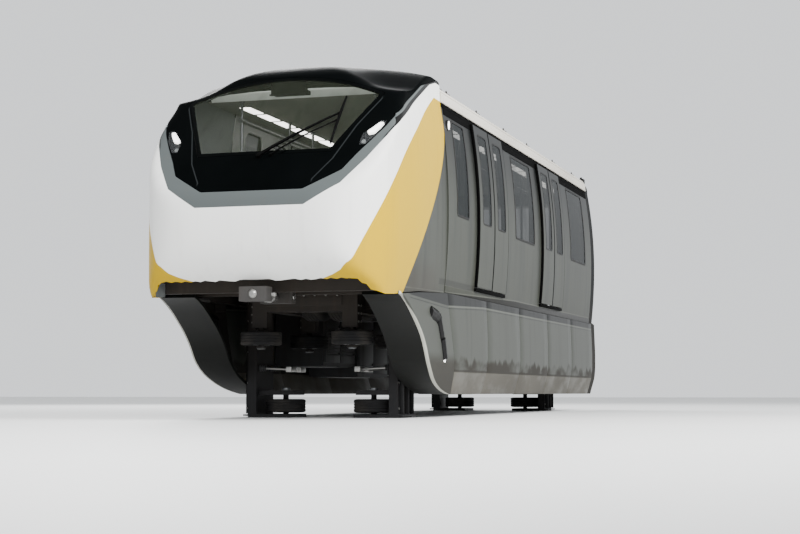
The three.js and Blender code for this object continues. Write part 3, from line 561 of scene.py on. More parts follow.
joint_ring = even_points(closed_ring(section_half), NOSE_SPOKES)
axis, ends = unit(NOSE_AXIS), unit(section_at(NOSE_JOINT, joint_ring) - NOSE_CENTRE)
angles = np.arccos(ends @ axis)
share = np.linspace(0, 1, NOSE_RINGS + 1)[1:, None]
from_axis = np.sin((1 - share) * angles) / np.sin(angles)
from_end = np.sin(share * angles) / np.sin(angles)
rays = (from_axis[..., None] * axis + from_end[..., None] * ends).reshape(-1, 3)
rays = unit(np.vstack([axis[None], rays]))
nose_points = cast(np.tile(NOSE_CENTRE, (len(rays), 1)), rays, NOSE_REACH, nose_distance)
nose_faces = [(0, 1 + i, 1 + (i + 1) % NOSE_SPOKES) for i in range(NOSE_SPOKES)]
for ring in range(NOSE_RINGS - 1):
    base = 1 + ring * NOSE_SPOKES
    for i in range(NOSE_SPOKES):
        j = (i + 1) % NOSE_SPOKES
        nose_faces.append((base + i, base + NOSE_SPOKES + i, base + NOSE_SPOKES + j, base + j))


def cut(points, faces, field):
    """Keeps the skin where the field is below zero, with a clean edge along its zero line."""
    level = field(points)
    kept = [tuple(p) for p in points]
    crossings, result = {}, []
    for face in faces:
        inside = [level[i] < 0 for i in face]
        if all(inside):
            result.append(tuple(face))
            continue
        if not any(inside):
            continue
        ring = []
        for a, b in zip(face, (*face[1:], face[0])):
            if level[a] < 0:
                ring.append(a)
            if (level[a] < 0) != (level[b] < 0):
                key = (min(a, b), max(a, b))
                if key not in crossings:
                    share = level[a] / (level[a] - level[b])
                    crossings[key] = len(kept)
                    kept.append(tuple(points[a] + share * (points[b] - points[a])))
                ring.append(crossings[key])
        if len(ring) > 2:
            result.append(tuple(ring))
    used = sorted({i for face in result for i in face})
    place = {old: new for new, old in enumerate(used)}
    return np.array([kept[i] for i in used]), [tuple(place[i] for i in f) for f in result]


def thicken(piece, depth, inner=None, rim=None):
    """Gives a skin its wall, inwards, with finishes for the inner face and the edge."""
    solidify = piece.modifiers.new("wall", "SOLIDIFY")
    solidify.thickness = depth
    solidify.offset = -1.0
    solidify.use_even_offset = False
    if inner is not None:
        piece.data.materials.append(inner.material)
        solidify.material_offset = 1
        solidify.material_offset_rim = 1
    if rim is not None:
        piece.data.materials.append(rim.material)
        solidify.material_offset_rim = len(piece.data.materials) - 1


SHARP_EDGE = math.radians(32)


def bake(piece):
    """Turns a piece's modifiers into plain mesh."""
    graph = bpy.context.evaluated_depsgraph_get()
    finished = bpy.data.meshes.new_from_object(piece.evaluated_get(graph))
    finished.set_sharp_from_angle(angle=SHARP_EDGE)
    piece.modifiers.clear()
    piece.data = finished


def settle(piece, body, slot, *replaced):
    """Says which body a piece moves with and the nodes it stands for; the slot, its record finish,
    is not used.
    """
    bake(piece)
    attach(piece, body)
    if replaced:
        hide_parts(*replaced)


MASK_FRONT = np.array(
    [(0.630, 2.640), (1.038, 2.868), (1.154, 3.062), (1.285, 3.250), (1.414, 3.446)]
    + [(1.488, 3.600), (1.750, 3.602), (1.750, 4.800)]
)
MASK_SIDE = np.array(
    [(7.2, 2.300), (5.690, 2.300), *MASK_SHOULDER, (3.780, 4.800), (7.2, 4.800)]
)
LAMP_OUTLINE = np.array(
    [(1.150, 3.190), (1.225, 3.190), (1.345, 3.355), (1.405, 3.500), (1.335, 3.520), (1.150, 3.330)]
)
mask_front_field = outline_field(closed_ring(MASK_FRONT), (-0.1, 1.0), (2.0, 4.9))
mask_side_field = outline_field(MASK_SIDE, (2.8, 1.0), (7.3, 4.9))
screen_half = np.vstack([[(0.845, 3.110)], bend((1.275, 3.905), (0.700, 4.175), (0, 4.175))])
screen_field = outline_field(closed_ring(screen_half), (-0.1, 2.8), (2.0, 4.5), 0.006)
lamp_field = outline_field(LAMP_OUTLINE, (1.0, 3.0), (1.6, 3.7), 0.004)
SCREEN_ONLY = 4.5
FRONT_ONLY = 4.9


def mask_region(points):
    """Distance from the mask's outline, seen from the front and from the side."""
    x, y, z = points.T
    return np.maximum(mask_front_field(abs(y), z), mask_side_field(x, z))


def screen_region(points):
    """Distance from the screen's opening, below zero inside it."""
    x, y, z = points.T
    return np.where(x > SCREEN_ONLY, screen_field(abs(y), z), 1.0)


def lamp_region(points):
    """Distance from the headlight openings, below zero inside them."""
    x, y, z = points.T
    return np.where(x > FRONT_ONLY, lamp_field(abs(y), z), 1.0)


hem_x, hem_z = np.array(NOSE_HEM).T
above_hem = cut(nose_points, nose_faces, lambda p: np.interp(p[:, 0], hem_x, hem_z) - p[:, 2])
shell_skin = cut(*above_hem, lambda p: MASK_GAP - mask_region(p))
cab_lining = Finish("cab_lining", colour(122, 126, 126), 0.7)
cab_lining.weather(ROAD_DUST, 0.12, 1.7, 2.6, 0.0)
nose_shell = new_piece("nose_moulding", *shell_skin, livery)
thicken(nose_shell, NOSE_THICKNESS, cab_lining, livery)
settle(nose_shell, "car_body", "nose_white", "nose_shell")

MASK_BLACK = colour(2, 3, 3)
CREASE_HIGHLIGHT = colour(40, 43, 44)
MASK_SHEEN = colour(13, 15, 16)
CREASE_LINE = ((0.71, 2.76), (0.885, 3.02), (1.055, 3.46), (1.255, 3.82))
mask_gloss = Finish("mask_gloss", MASK_BLACK, 0.25, Specular_IOR_Level=0.004)
# Painted sheen: lighter cloudy patches in the black; the same cloud also varies the roughness, as
# smears do.
mask_smear_and_sheen = mask_gloss.noise(2.2, (1, 1, 0.5), 4.0, 5.0)
mask_gloss.set("Roughness", mask_smear_and_sheen * 0.2 + 0.3)
mask_shade = mask_gloss.blend(mask_smear_and_sheen * 0.35, MASK_BLACK, MASK_SHEEN)
# Painted highlight: a thin lighter grey line on the black mask along the crease that runs down
# beside each side of the screen.
crease_place = mask_gloss.z * 0.0
for (y, z), (next_y, next_z) in zip(CREASE_LINE, CREASE_LINE[1:]):
    slant = (mask_gloss.z - z).most(0.0).least(next_z - z) * ((next_y - y) / (next_z - z))
    crease_place = crease_place + slant
off_crease = abs(mask_gloss.y) - crease_place - CREASE_LINE[0][0]
crease_highlight_mask = off_crease.near(0.0, 0.006, 0.004) * mask_gloss.x.rise(5.45, 5.55)
crease_highlight_mask = crease_highlight_mask * mask_gloss.z.near(3.29, 0.53, 0.05) * 0.7
mask_shade = mask_gloss.blend(crease_highlight_mask, mask_shade, CREASE_HIGHLIGHT)
mask_gloss.set("Base Color", mask_shade)
mask_skin = cut(*above_hem, lambda p: mask_region(p) + MASK_GAP)
mask_skin = cut(*mask_skin, lambda p: 0.001 - screen_region(p))
mask_skin = cut(*mask_skin, lambda p: 0.001 - lamp_region(p))
front_mask = new_piece("mask_moulding", *mask_skin, mask_gloss)
thicken(front_mask, NOSE_THICKNESS, cab_lining, mask_gloss)
settle(front_mask, "car_body", "mask_black", "front_mask")

# Windscreen: one large curved pane of laminated glass, bonded into the mask from outside.
# A black printed border hides the bond; the pane is tinted grey green.
PRINT_BLACK = colour(2, 3, 3)
GLASS_GAP = 0.003
GLASS_DEPTH = 0.016
PRINT_WIDTH = 0.045


def mark(piece, name, values):
    """Stores one number for each point of a piece."""
    layer = piece.data.attributes.new(name, "FLOAT", "POINT")
    layer.data.foreach_set("value", np.asarray(values, np.float32))


def tinted(name, tint, see_through, border=None):
    """Glass: dark and glossy, clear enough to see through, and solid black on its border."""
    finish = Finish(name, tint, 0.04, Alpha=see_through, Specular_IOR_Level=0.015)
    haze = finish.noise(1.3, (1, 1, 0.4), 4.0, 11.0)
    finish.set("Roughness", haze * 0.07 + 0.02)
    dusty = finish.noise(5.0, (1, 1, 0.3), 4.0, 2.0).rise(0.45, 0.8) * 0.10
    if border is None:
        finish.set("Alpha", dusty + see_through)
        return finish
    edge = finish.start.node("Attribute", {"attribute_name": "to_edge"}, {}, "Fac")
    printed = edge.rise(border + 0.004, border)
    finish.set("Alpha", (dusty + see_through).most(printed))
    finish.paint(printed, tint, PRINT_BLACK)
    return finish


screen_glass = tinted("screen_glass", colour(52, 56, 47), 0.18, PRINT_WIDTH)
screen_skin = cut(*above_hem, lambda p: screen_region(p) + GLASS_GAP)
windscreen = new_piece("windscreen_pane", *screen_skin, screen_glass)
mark(windscreen, "to_edge", -screen_region(screen_skin[0]))
thicken(windscreen, GLASS_DEPTH)
settle(windscreen, "car_body", "window_glass", "windscreen")

# Headlights: a clear slanting cover on each side of the screen, flush with the mask.
# Behind it a black bowl holds a long main lamp, which is lit, and a small round marker lamp.
SIDES = (("left", 1), ("right", -1))
BOWL_RIM = 0.012
BOWL_DEPTH = 0.05
BOWL_WALL = 0.004
COVER_WALL = 0.006
LAMP_DEPTH = 0.016
LAMP_WALL = 0.03
MAIN_LAMP = (
    (1.190, 3.405), (1.212, 3.352), (1.280, 3.368), (1.338, 3.445), (1.368, 3.505), (1.312, 3.500)
)
MARKER_LAMP = (1.190, 3.245, 0.026)


def inward(points, depth):
    """The same skin moved into the car, square to the nose's surface."""
    step = 0.004
    slope = [
        nose_distance(points + step * side) - nose_distance(points - step * side)
        for side in np.eye(3)
    ]
    return points - unit(np.array(slope).T) * np.reshape(depth, (-1, 1))


def finer(points, faces):
    """Every face of a skin split in four, for small shapes that are cut from it."""
    points = [tuple(p) for p in points]
    middles, result = {}, []

    def middle(a, b):
        key = (min(a, b), max(a, b))
        if key not in middles:
            middles[key] = len(points)
            points.append(tuple((np.array(points[a]) + np.array(points[b])) / 2))
        return middles[key]

    for face in faces:
        centre = len(points)
        points.append(tuple(np.mean([points[i] for i in face], axis=0)))
        for before, corner, after in zip((face[-1], *face[:-1]), face, (*face[1:], face[0])):
            result.append((middle(before, corner), corner, middle(corner, after), centre))
    return np.array(points), result


main_lamp_field = outline_field(MAIN_LAMP, (1.1, 3.1), (1.5, 3.6), 0.003)


def main_lamp_region(points):
    """Distance from the long lamps, below zero inside them."""
    x, y, z = points.T
    return np.where(x > FRONT_ONLY, main_lamp_field(abs(y), z), 1.0)


def marker_lamp_region(points):
    """Distance from the small round lamps, below zero inside them."""
    x, y, z = points.T
    away = np.hypot(abs(y) - MARKER_LAMP[0], z - MARKER_LAMP[1]) - MARKER_LAMP[2]
    return np.where(x > FRONT_ONLY, away, 1.0)


lens_clear = Finish("lens_clear", colour(120, 124, 126), 0.03, Alpha=0.05, Specular_IOR_Level=0.04)
lens_clear.scuff(6.0, 0.05, 0.02)
bowl_black = Finish("bowl_black", colour(7, 7, 8), 0.35, Specular_IOR_Level=0.05)
bowl_black.scuff(25.0, 0.2, 0.25)
LAMP_GLOW = {"Emission_Color": (1, 0.98, 0.94, 1), "Emission_Strength": 3.2}
lamp_white = Finish("lamp_white", colour(250, 250, 246), 0.3, **LAMP_GLOW)
lamp_cells = (lamp_white.z * 230).math("SINE") * 0.12 + 0.88
lamp_white.paint(lamp_cells, colour(190, 192, 190), colour(252, 252, 250))
marker_grey = Finish("marker_grey", colour(96, 99, 98), 0.3)
marker_grey.scuff(40.0, 0.15, 0.25)
lamp_skin = finer(*cut(*above_hem, lambda p: lamp_region(p) - BOWL_RIM))
for side, sign in SIDES:
    near = cut(*lamp_skin, lambda p: -sign * p[:, 1])
    lens_points, lens_faces = cut(*near, lambda p: lamp_region(p) + GLASS_GAP)
    lens = new_piece(f"headlight_cover_{side}", lens_points, lens_faces, lens_clear)
    thicken(lens, COVER_WALL)
    settle(lens, "car_body", "lens", f"headlight_{side}")
    bowl_points, bowl_faces = cut(*near, lambda p: lamp_region(p) - BOWL_WALL)
    wall = np.clip(-lamp_region(bowl_points) / BOWL_RIM + 0.35, 0, 1)
    sunk = inward(bowl_points, BOWL_RIM + BOWL_DEPTH * wall)
    bowl = new_piece(f"headlight_bowl_{side}", sunk, bowl_faces, bowl_black)
    thicken(bowl, BOWL_WALL)
    settle(bowl, "car_body", "mask_black")
    for lamp, region, finish in (
        ("main", main_lamp_region, lamp_white),
        ("marker", marker_lamp_region, marker_grey),
    ):
        lit_points, lit_faces = cut(*near, region)
        lit = new_piece(f"{lamp}_lamp_{side}", inward(lit_points, LAMP_DEPTH), lit_faces, finish)
        thicken(lit, LAMP_WALL)
        settle(lit, "car_body", "lens")

# Wiper: a black steel arm with a second rod beside it, both turned by one spindle below
# the screen, and a rubber blade on a thin frame that stands upright on the glass.
WIPER_SPINDLE = (-0.04, 3.080)
ROD_SPINDLE = (0.11, 3.085)
BLADE_TOP = (0.823, 3.850)
BLADE_FOOT = (0.808, 3.210)
ARM_LIFT = 0.042
BLADE_STEPS = 14
BROKEN_EDGE = math.radians(40)


def lifted(place, height):
    """A place in the front view, put on the nose and moved out from its surface."""
    start = np.array([(4.9, *place)])
    return inward(cast(start, np.array([(1.0, 0, 0)]), 2.0, nose_distance), -height)[0]


def strip_faces(rows, columns, wrapped=False):
    """Faces of a grid of points; a wrapped grid joins its last column to its first."""
    faces = []
    for row in range(rows - 1):
        base = row * columns
        for i in range(columns if wrapped else columns - 1):
            j = (i + 1) % columns
            faces.append((base + i, base + j, base + columns + j, base + columns + i))
    return faces


def loft(rings):
    """Closed rings of equal length joined in a row, with flat ends."""
    count = len(rings[0])
    faces = strip_faces(len(rings), count, True)
    faces.append(tuple(range(count))[::-1])
    faces.append(tuple(range((len(rings) - 1) * count, len(rings) * count)))
    return np.vstack(rings), faces


def rod(path, radius, count=12):
    """A round bar along a path; the radius may be one for each of its points."""
    path = np.asarray(path, float)
    along = unit(np.gradient(path, axis=0))
    radius = np.broadcast_to(radius, len(path))
    side = unit(np.cross(along[0], (0.31, 0.47, 0.83)))
    turns = np.linspace(0, 2 * np.pi, count, endpoint=False)
    rings = []
    for point, direction, size in zip(path, along, radius):
        side = unit(side - direction * (side @ direction))
        up = np.cross(direction, side)
        ring = np.cos(turns)[:, None] * side + np.sin(turns)[:, None] * up
        rings.append(point + size * ring)
    return loft(rings)


def block(low, high):
    """A box between two corners."""
    low, high = np.minimum(low, high), np.maximum(low, high)
    base = [(low[0], low[1]), (high[0], low[1]), (high[0], high[1]), (low[0], high[1])]
    return loft([[(x, y, z) for x, y in base] for z in (low[2], high[2])])


def merged(shapes):
    """Several shapes as the points and faces of one."""
    points, faces, start = [], [], 0
    for shape_points, shape_faces in shapes:
        points.append(np.asarray(shape_points, float))
        faces += [tuple(i + start for i in face) for face in shape_faces]
        start += len(shape_points)
    return np.vstack(points), faces


def solid(name, shapes, finish, body, slot, *replaced, bevel=0.0):
    """One piece of closed shapes, with its faces outwards and its edges broken."""
    piece = new_piece(name, *merged(shapes), finish)
    work = bmesh.new()
    work.from_mesh(piece.data)
    bmesh.ops.recalc_face_normals(work, faces=work.faces)
    work.to_mesh(piece.data)
    work.free()
    if bevel:
        edges = piece.modifiers.new("broken_edges", "BEVEL")
        edges.width = bevel
        edges.segments = 2
        edges.limit_method = "ANGLE"
        edges.angle_limit = BROKEN_EDGE
    settle(piece, body, slot, *replaced)


wiper_black = Finish("wiper_black", colour(4, 4, 4), 0.42, Specular_IOR_Level=0.02)
wiper_black.scuff(30.0, 0.25, 0.3)
spindle, rod_spindle = lifted(WIPER_SPINDLE, 0.03), lifted(ROD_SPINDLE, 0.03)
blade_top, blade_foot = lifted(BLADE_TOP, 0.012), lifted(BLADE_FOOT, 0.012)
blade_line = np.linspace(blade_top, blade_foot, BLADE_STEPS)
frame_line = np.linspace(lifted(BLADE_TOP, ARM_LIFT), lifted(BLADE_FOOT, ARM_LIFT), BLADE_STEPS)
frame_lift = np.sin(np.linspace(0, np.pi, BLADE_STEPS))[:, None]
frame_line = blade_line + (frame_line - blade_line) * (0.2 + 0.8 * frame_lift)
hold, rod_hold = frame_line[5], frame_line[7]
arm_line = bend(spindle, (spindle + hold) / 2 + (0.02, 0, 0.03), hold, 12)
rod_line = bend(rod_spindle, (rod_spindle + rod_hold) / 2 + (0.02, 0, 0.03), rod_hold, 12)
outwards = unit(spindle - lifted(WIPER_SPINDLE, 0.0))
solid(
    "wiper",
    [
        rod(arm_line, np.linspace(0.020, 0.012, len(arm_line))),
        rod(rod_line, 0.009),
        rod(frame_line, 0.010, 8),
        rod(blade_line, 0.010, 8),
        rod([spindle - outwards * 0.06, spindle + outwards * 0.012], 0.028, 20),
        rod([rod_spindle - outwards * 0.06, rod_spindle + outwards * 0.010], 0.018, 16),
        rod([frame_line[4], frame_line[6]], 0.011, 8),
    ],
    wiper_black,
    "car_body",
    "frame_black",
)

# Route display: a black box with a lit face of fine rows. It hangs on two straps behind the
# top of the screen and shows through it.
display_black = Finish("display_black", colour(2, 2, 2), 0.5, Specular_IOR_Level=0.02)
display_face = display_black.y.near(-0.03, 0.20, 0.004) * display_black.z.near(4.06, 0.05, 0.004)
display_rows = (display_black.z * 520).math("SINE") * 0.5 + 0.5
lit_rows = display_face * display_rows * 0.5
display_black.paint(lit_rows, colour(2, 2, 2), colour(30, 28, 25))
solid(
    "route_display",
    [
        block((5.12, -0.26, 3.985), (5.30, 0.20, 4.130)),
        block((5.28, -0.275, 3.970), (5.315, 0.215, 3.990)),
        block((5.14, -0.20, 4.12), (5.18, -0.17, 4.22)),
        block((5.14, 0.11, 4.12), (5.18, 0.14, 4.22)),
    ],
    display_black,
    "car_body",
    "mask_black",
    bevel=0.006,
)

# Side walls: welded aluminium panels with a slight barrel curve, painted with the nose.
# Three windows and two doorways are cut in each; the inside is lined with plastic panels.
BODY_REAR = -6.215
SILL = 1.600
FLOOR_TOP = 1.740
WALL = 0.060
WINDOW_BOTTOM = 2.640
WINDOW_TOP = 3.900
WINDOW_CORNER = 0.055
WINDOWS = (("front", 2.665, 3.265), ("middle", -1.385, -0.085), ("rear", -5.625, -4.285))
DOORWAYS = (("front", 1.395), ("rear", -2.715))
DOORWAY_HALF = 0.790
DOORWAY_TOP = 3.960


def box_field(u, v, low, high, radius):
    """Distance from a rectangle with round corners, below zero inside it."""
    centre, half = (np.array(low) + high) / 2, (np.array(high) - low) / 2 - radius
    across, up = abs(u - centre[0]) - half[0], abs(v - centre[1]) - half[1]
    outside = np.hypot(np.maximum(across, 0), np.maximum(up, 0))
    return outside + np.minimum(np.maximum(across, up), 0) - radius


def steps_with(low, high, step, edges, reach=0.075, fine=0.011):
    """Places from low to high, a fine step apart within reach of each edge."""
    places = [low]
    while places[-1] < high:
        close = any(abs(places[-1] - edge) < reach for edge in edges)
        ahead = [edge - reach for edge in edges if places[-1] < edge - reach - 1e-6]
        move = fine if close else min([step] + [place - places[-1] for place in ahead])
        places.append(places[-1] + move)
    places[-1] = high
    return np.array(places)


def turned_over(faces):
    """The same faces, seen from their other side."""
    return [tuple(reversed(face)) for face in faces]


def wall_sheet(xs, zs, out):
    """A sheet that follows the barrel curve of the left side, out metres beyond the wall."""
    grid_z, grid_x = np.meshgrid(zs, xs, indexing="ij")
    points = np.column_stack([grid_x.ravel(), half_width(grid_z.ravel()) + out, grid_z.ravel()])
    return points, turned_over(strip_faces(len(zs), len(xs)))


def on_side(points, faces, sign):
    """A skin of the left side as it is, or turned over to the right side."""
    if sign > 0:
        return points, faces
    return points * (1, -1, 1), turned_over(faces)


def both_sides(shapes):
    """Shapes of the left side, each with its mirror image."""
    return [on_side(*shape, sign) for shape in shapes for _, sign in SIDES]


def wall_openings(points):
    """Distance from the windows and doorways of a wall, below zero inside them."""
    x, _, z = points.T
    gaps = [
        box_field(x, z, (start, WINDOW_BOTTOM), (end, WINDOW_TOP), WINDOW_CORNER)
        for _, start, end in WINDOWS
    ]
    for _, centre in DOORWAYS:
        low, high = (centre - DOORWAY_HALF, FLOOR_TOP), (centre + DOORWAY_HALF, DOORWAY_TOP)
        gaps.append(box_field(x, z, low, high, 0.03))
    return np.min(gaps, axis=0)


lining = Finish("lining_panel", colour(160, 162, 160), 0.5)
lining.grain(60.0, 0.0004, 2.0)
lining.weather(colour(120, 116, 108), 0.25, 1.75, 2.3, 0.0)
door_edges = [c + s * DOORWAY_HALF for _, c in DOORWAYS for s in (-1, 1)]
window_edges = [x for _, start, end in WINDOWS for x in (start, end)]
wall_x = steps_with(BODY_REAR, NOSE_JOINT - 0.002, 0.12, sorted(door_edges + window_edges))
wall_z = steps_with(SILL, CANTRAIL, 0.08, (1.74, 2.64, 3.90, 3.96))
wall_points, wall_faces = wall_sheet(wall_x, wall_z, 0.0)
wall_skin = cut(wall_points, wall_faces, lambda p: -wall_openings(p))
for side, sign in SIDES:
    wall = new_piece(f"side_panels_{side}", *on_side(*wall_skin, sign), livery)
    thicken(wall, WALL, lining, livery)
    settle(wall, "car_body", "body_grey", f"side_wall_{side}")

# Trim on the walls: a black rubber seal under the gutter, black strips high on the wall and
# beside the doorways as painted shade, a sill moulding, a black guide rail under each doorway
# and a small white lamp high behind the nose.
RAIL_TOP = 1.750
SIDE_LAMP = (3.49, 3.80)
WALL_RUNS = ((BODY_REAR + 0.002, -3.525), (-1.905, 0.585), (2.205, 3.600))
GUTTER_FOOT = 4.075
rubber = Finish("black_rubber", colour(15, 15, 15), 0.62)
rubber_dust = rubber.noise(4.0, (1, 1, 1), 4.0, 9.0).rise(0.45, 0.8) * 0.3
rubber.paint(rubber_dust, colour(14, 14, 14), colour(66, 63, 58))
rubber.set("Roughness", rubber_dust * 0.6 + 0.5)
seal_black = Finish("seal_black", colour(4, 4, 4), 0.8, Specular_IOR_Level=0.03)
seal_black.scuff(30.0, 0.2, 0.7, (0.1, 1, 1))


def wall_bar(x0, x1, z0, z1, out, depth, sign, steps):
    """A bar that lies on the wall and follows its curve, from its back to its face."""
    zs = np.linspace(z0, z1, steps)
    half = half_width(zs)
    outer = np.column_stack([half + out, zs])
    inner = np.column_stack([half + out - depth, zs])[::-1]
    ring = np.vstack([outer, inner]) * (sign, 1)
    return loft([section_at(x, ring) for x in (x0, x1)])


def upright_disc(y, sign, back, front, across, tall):
    """A thin upright oval on the wall at the side lamp, from its back to its face."""
    turns = np.linspace(0, 2 * np.pi, 28, endpoint=False)
    x, z = SIDE_LAMP
    edge = np.column_stack([x + across * np.cos(turns), np.full(28, y), z + tall * np.sin(turns)])
    return loft([edge + (0, sign * back, 0), edge + (0, sign * front, 0)])


for side, sign in SIDES:
    along_roof = (BODY_REAR + 0.002, SWEEP_REAR[-1][1], 4.022, GUTTER_FOOT - 0.001)
    seal_and_shade_strips = [wall_bar(*along_roof, out=0.007, depth=0.012, sign=sign, steps=3)]
    # Painted shade: black strips high on the wall between the openings, and beside each doorway's
    # front post, stand in for the shade under the roof's edge and in the gap ahead of the proud
    # leaves.
    strip = {"out": 0.006, "depth": 0.010, "sign": sign}
    seal_and_shade_strips += [wall_bar(*run, 3.928, 4.020, **strip, steps=5) for run in WALL_RUNS]
    for _, centre in DOORWAYS:
        post = centre + DOORWAY_HALF
        seal_and_shade_strips.append(wall_bar(post + 0.002, post + 0.028, 1.76, 3.93, **strip, steps=20))
    joint_run = (NOSE_JOINT - 0.004, NOSE_JOINT + 0.001, 1.606, 4.02)
    nose_seal = [wall_bar(*joint_run, out=-0.0005, depth=0.02, sign=sign, steps=40)]
    solid(f"nose_seal_{side}", nose_seal, livery, "car_body", "body_grey")
    solid(f"seal_and_shade_strips_{side}", seal_and_shade_strips, seal_black, "car_body", "frame_black")
    guides = []
    for _, centre in DOORWAYS:
        run = (centre - DOORWAY_HALF - 0.05, centre + DOORWAY_HALF + 0.05, 1.703, RAIL_TOP - 0.003)
        guides.append(wall_bar(*run, out=0.036, depth=0.035, sign=sign, steps=3))
    solid(f"door_guides_{side}", guides, seal_black, "car_body", "frame_black", bevel=0.003)
    sill_run = (BODY_REAR + 0.004, NOSE_JOINT - 0.004, 1.604, 1.690)
    sill_bars = [wall_bar(*sill_run, out=0.007, depth=0.006, sign=sign, steps=5)]
    solid(f"sill_moulding_{side}", sill_bars, livery, "car_body", "body_grey", bevel=0.003)
    lamp_y = sign * half_width(SIDE_LAMP[1])
    case = upright_disc(lamp_y, sign, -0.01, 0.02, 0.040, 0.070)
    glow = [upright_disc(lamp_y, sign, 0.015, 0.030, 0.028, 0.056)]
    solid(f"side_lamp_case_{side}", [case], rubber, "car_body", "frame_black", bevel=0.004)
    solid(f"side_lamp_{side}", glow, lamp_white, "car_body", "lens", bevel=0.006)

# Windows: each pane is tinted double glass that follows the wall's curve. A black rubber
# gasket with round corners holds it and laps the wall outside.
GASKET_LAP = 0.012
GASKET_INSIDE = 0.020
PANE_DEPTH = 0.010
window_glass = tinted("tinted_glass", colour(18, 22, 23), 0.72)


def framed_ring(x0, x1, out, depth, lap, inside, sign):
    """A rubber ring around an opening of the wall, rounded at its corners."""
    outer_low, outer_high = (x0 - lap, WINDOW_BOTTOM - lap), (x1 + lap, WINDOW_TOP + lap)
    inner_low = (x0 + inside, WINDOW_BOTTOM + inside)
    inner_high = (x1 - inside, WINDOW_TOP - inside)
    turns = np.linspace(0, np.pi / 2, 7)

    def ring(low, high, radius):
        points = []
        (left, foot), (right, head) = low, high
        for x, z, quarter in ((right, head, 0), (left, head, 1), (left, foot, 2), (right, foot, 3)):
            centre_x = x - radius if quarter in (0, 3) else x + radius
            centre_z = z - radius if quarter in (0, 1) else z + radius
            angle = turns + quarter * np.pi / 2
            arc = np.column_stack([np.cos(angle), np.sin(angle)]) * radius + (centre_x, centre_z)
            points.append(arc)
            if quarter in (0, 2):
                continue
            # Long upright edges need points between their corners to follow the barrel curve.
            next_z = foot + radius if quarter == 1 else head - radius
            uprights = np.linspace(arc[-1][1], next_z, 14)[1:-1]
            points.append(np.column_stack([np.full(12, arc[-1][0]), uprights]))
        return np.vstack(points)

    outside = ring(outer_low, outer_high, WINDOW_CORNER + lap)
    opening = ring(inner_low, inner_high, WINDOW_CORNER - inside)
    count = len(outside)
    back = out - depth
    loops = []
    for flat, level in ((outside, back), (outside, out), (opening, out), (opening, back)):
        y = half_width(flat[:, 1]) + level
        loops.append(np.column_stack([flat[:, 0], sign * y, flat[:, 1]]))
    points = np.vstack(loops)
    faces = strip_faces(4, count, True)
    last = 3 * count
    faces += [(last + i, last + (i + 1) % count, (i + 1) % count, i) for i in range(count)]
    return points, faces


def pane_sheet(x0, x1, out, sign):
    """The outer skin of a curved pane, cut to a rounded outline."""
    xs = steps_with(x0, x1, 0.2, (x0, x1), 0.06, 0.012)
    zs = steps_with(WINDOW_BOTTOM, WINDOW_TOP, 0.08, (WINDOW_BOTTOM, WINDOW_TOP), 0.06, 0.012)
    points, faces = wall_sheet(xs, zs, out)
    low, high = (x0 + 0.003, WINDOW_BOTTOM + 0.003), (x1 - 0.003, WINDOW_TOP - 0.003)
    skin = cut(points, faces, lambda p: box_field(p[:, 0], p[:, 2], low, high, WINDOW_CORNER))
    return on_side(*skin, sign)


for side, sign in SIDES:
    for place, start, end in WINDOWS:
        sheet = pane_sheet(start, end, -GLASS_GAP, sign)
        pane = new_piece(f"pane_{place}_{side}", *sheet, window_glass)
        thicken(pane, PANE_DEPTH)
        settle(pane, "car_body", "window_glass", f"window_{place}_{side}")
        ring = framed_ring(start, end, 0.004, 0.022, GASKET_LAP, GASKET_INSIDE, sign)
        solid(f"gasket_{place}_{side}", [ring], rubber, "car_body", "frame_black", bevel=0.0015)

# Doors: two plug leaves to each doorway, aluminium sheet on a frame, hung outside the wall.
# Each has a tall tinted pane in a gasket and a black rubber lip on both upright edges.
LEAF_WIDTH = 0.847
LEAF_BOTTOM = 1.755
LEAF_TOP = 4.012
LEAF_INNER = 0.008
LEAF_OUTER = 0.043
LEAF_GLASS_WIDTH = 0.480
LEAF_PANE_DEPTH = 0.008
LEAF_LAP = 0.006
LEAF_INSIDE = 0.014
MEETING_GAP = 0.003
LIP = 0.026


def leaf_skins(start, end, sign):
    """The metal of one leaf between its rubber lips, and both ends of its window opening."""
    x0, x1 = start + LIP, end - LIP
    middle = (start + end) / 2
    low = (middle - LEAF_GLASS_WIDTH / 2, WINDOW_BOTTOM)
    high = (middle + LEAF_GLASS_WIDTH / 2, WINDOW_TOP)
    xs = steps_with(x0, x1, 0.1, (low[0], high[0]))
    zs = steps_with(LEAF_BOTTOM, LEAF_TOP, 0.08, (WINDOW_BOTTOM, WINDOW_TOP))
    points, faces = wall_sheet(xs, zs, LEAF_OUTER)
    points, faces = cut(
        points, faces, lambda p: -box_field(p[:, 0], p[:, 2], low, high, WINDOW_CORNER)
    )
    return on_side(points, faces, sign), low[0], high[0]


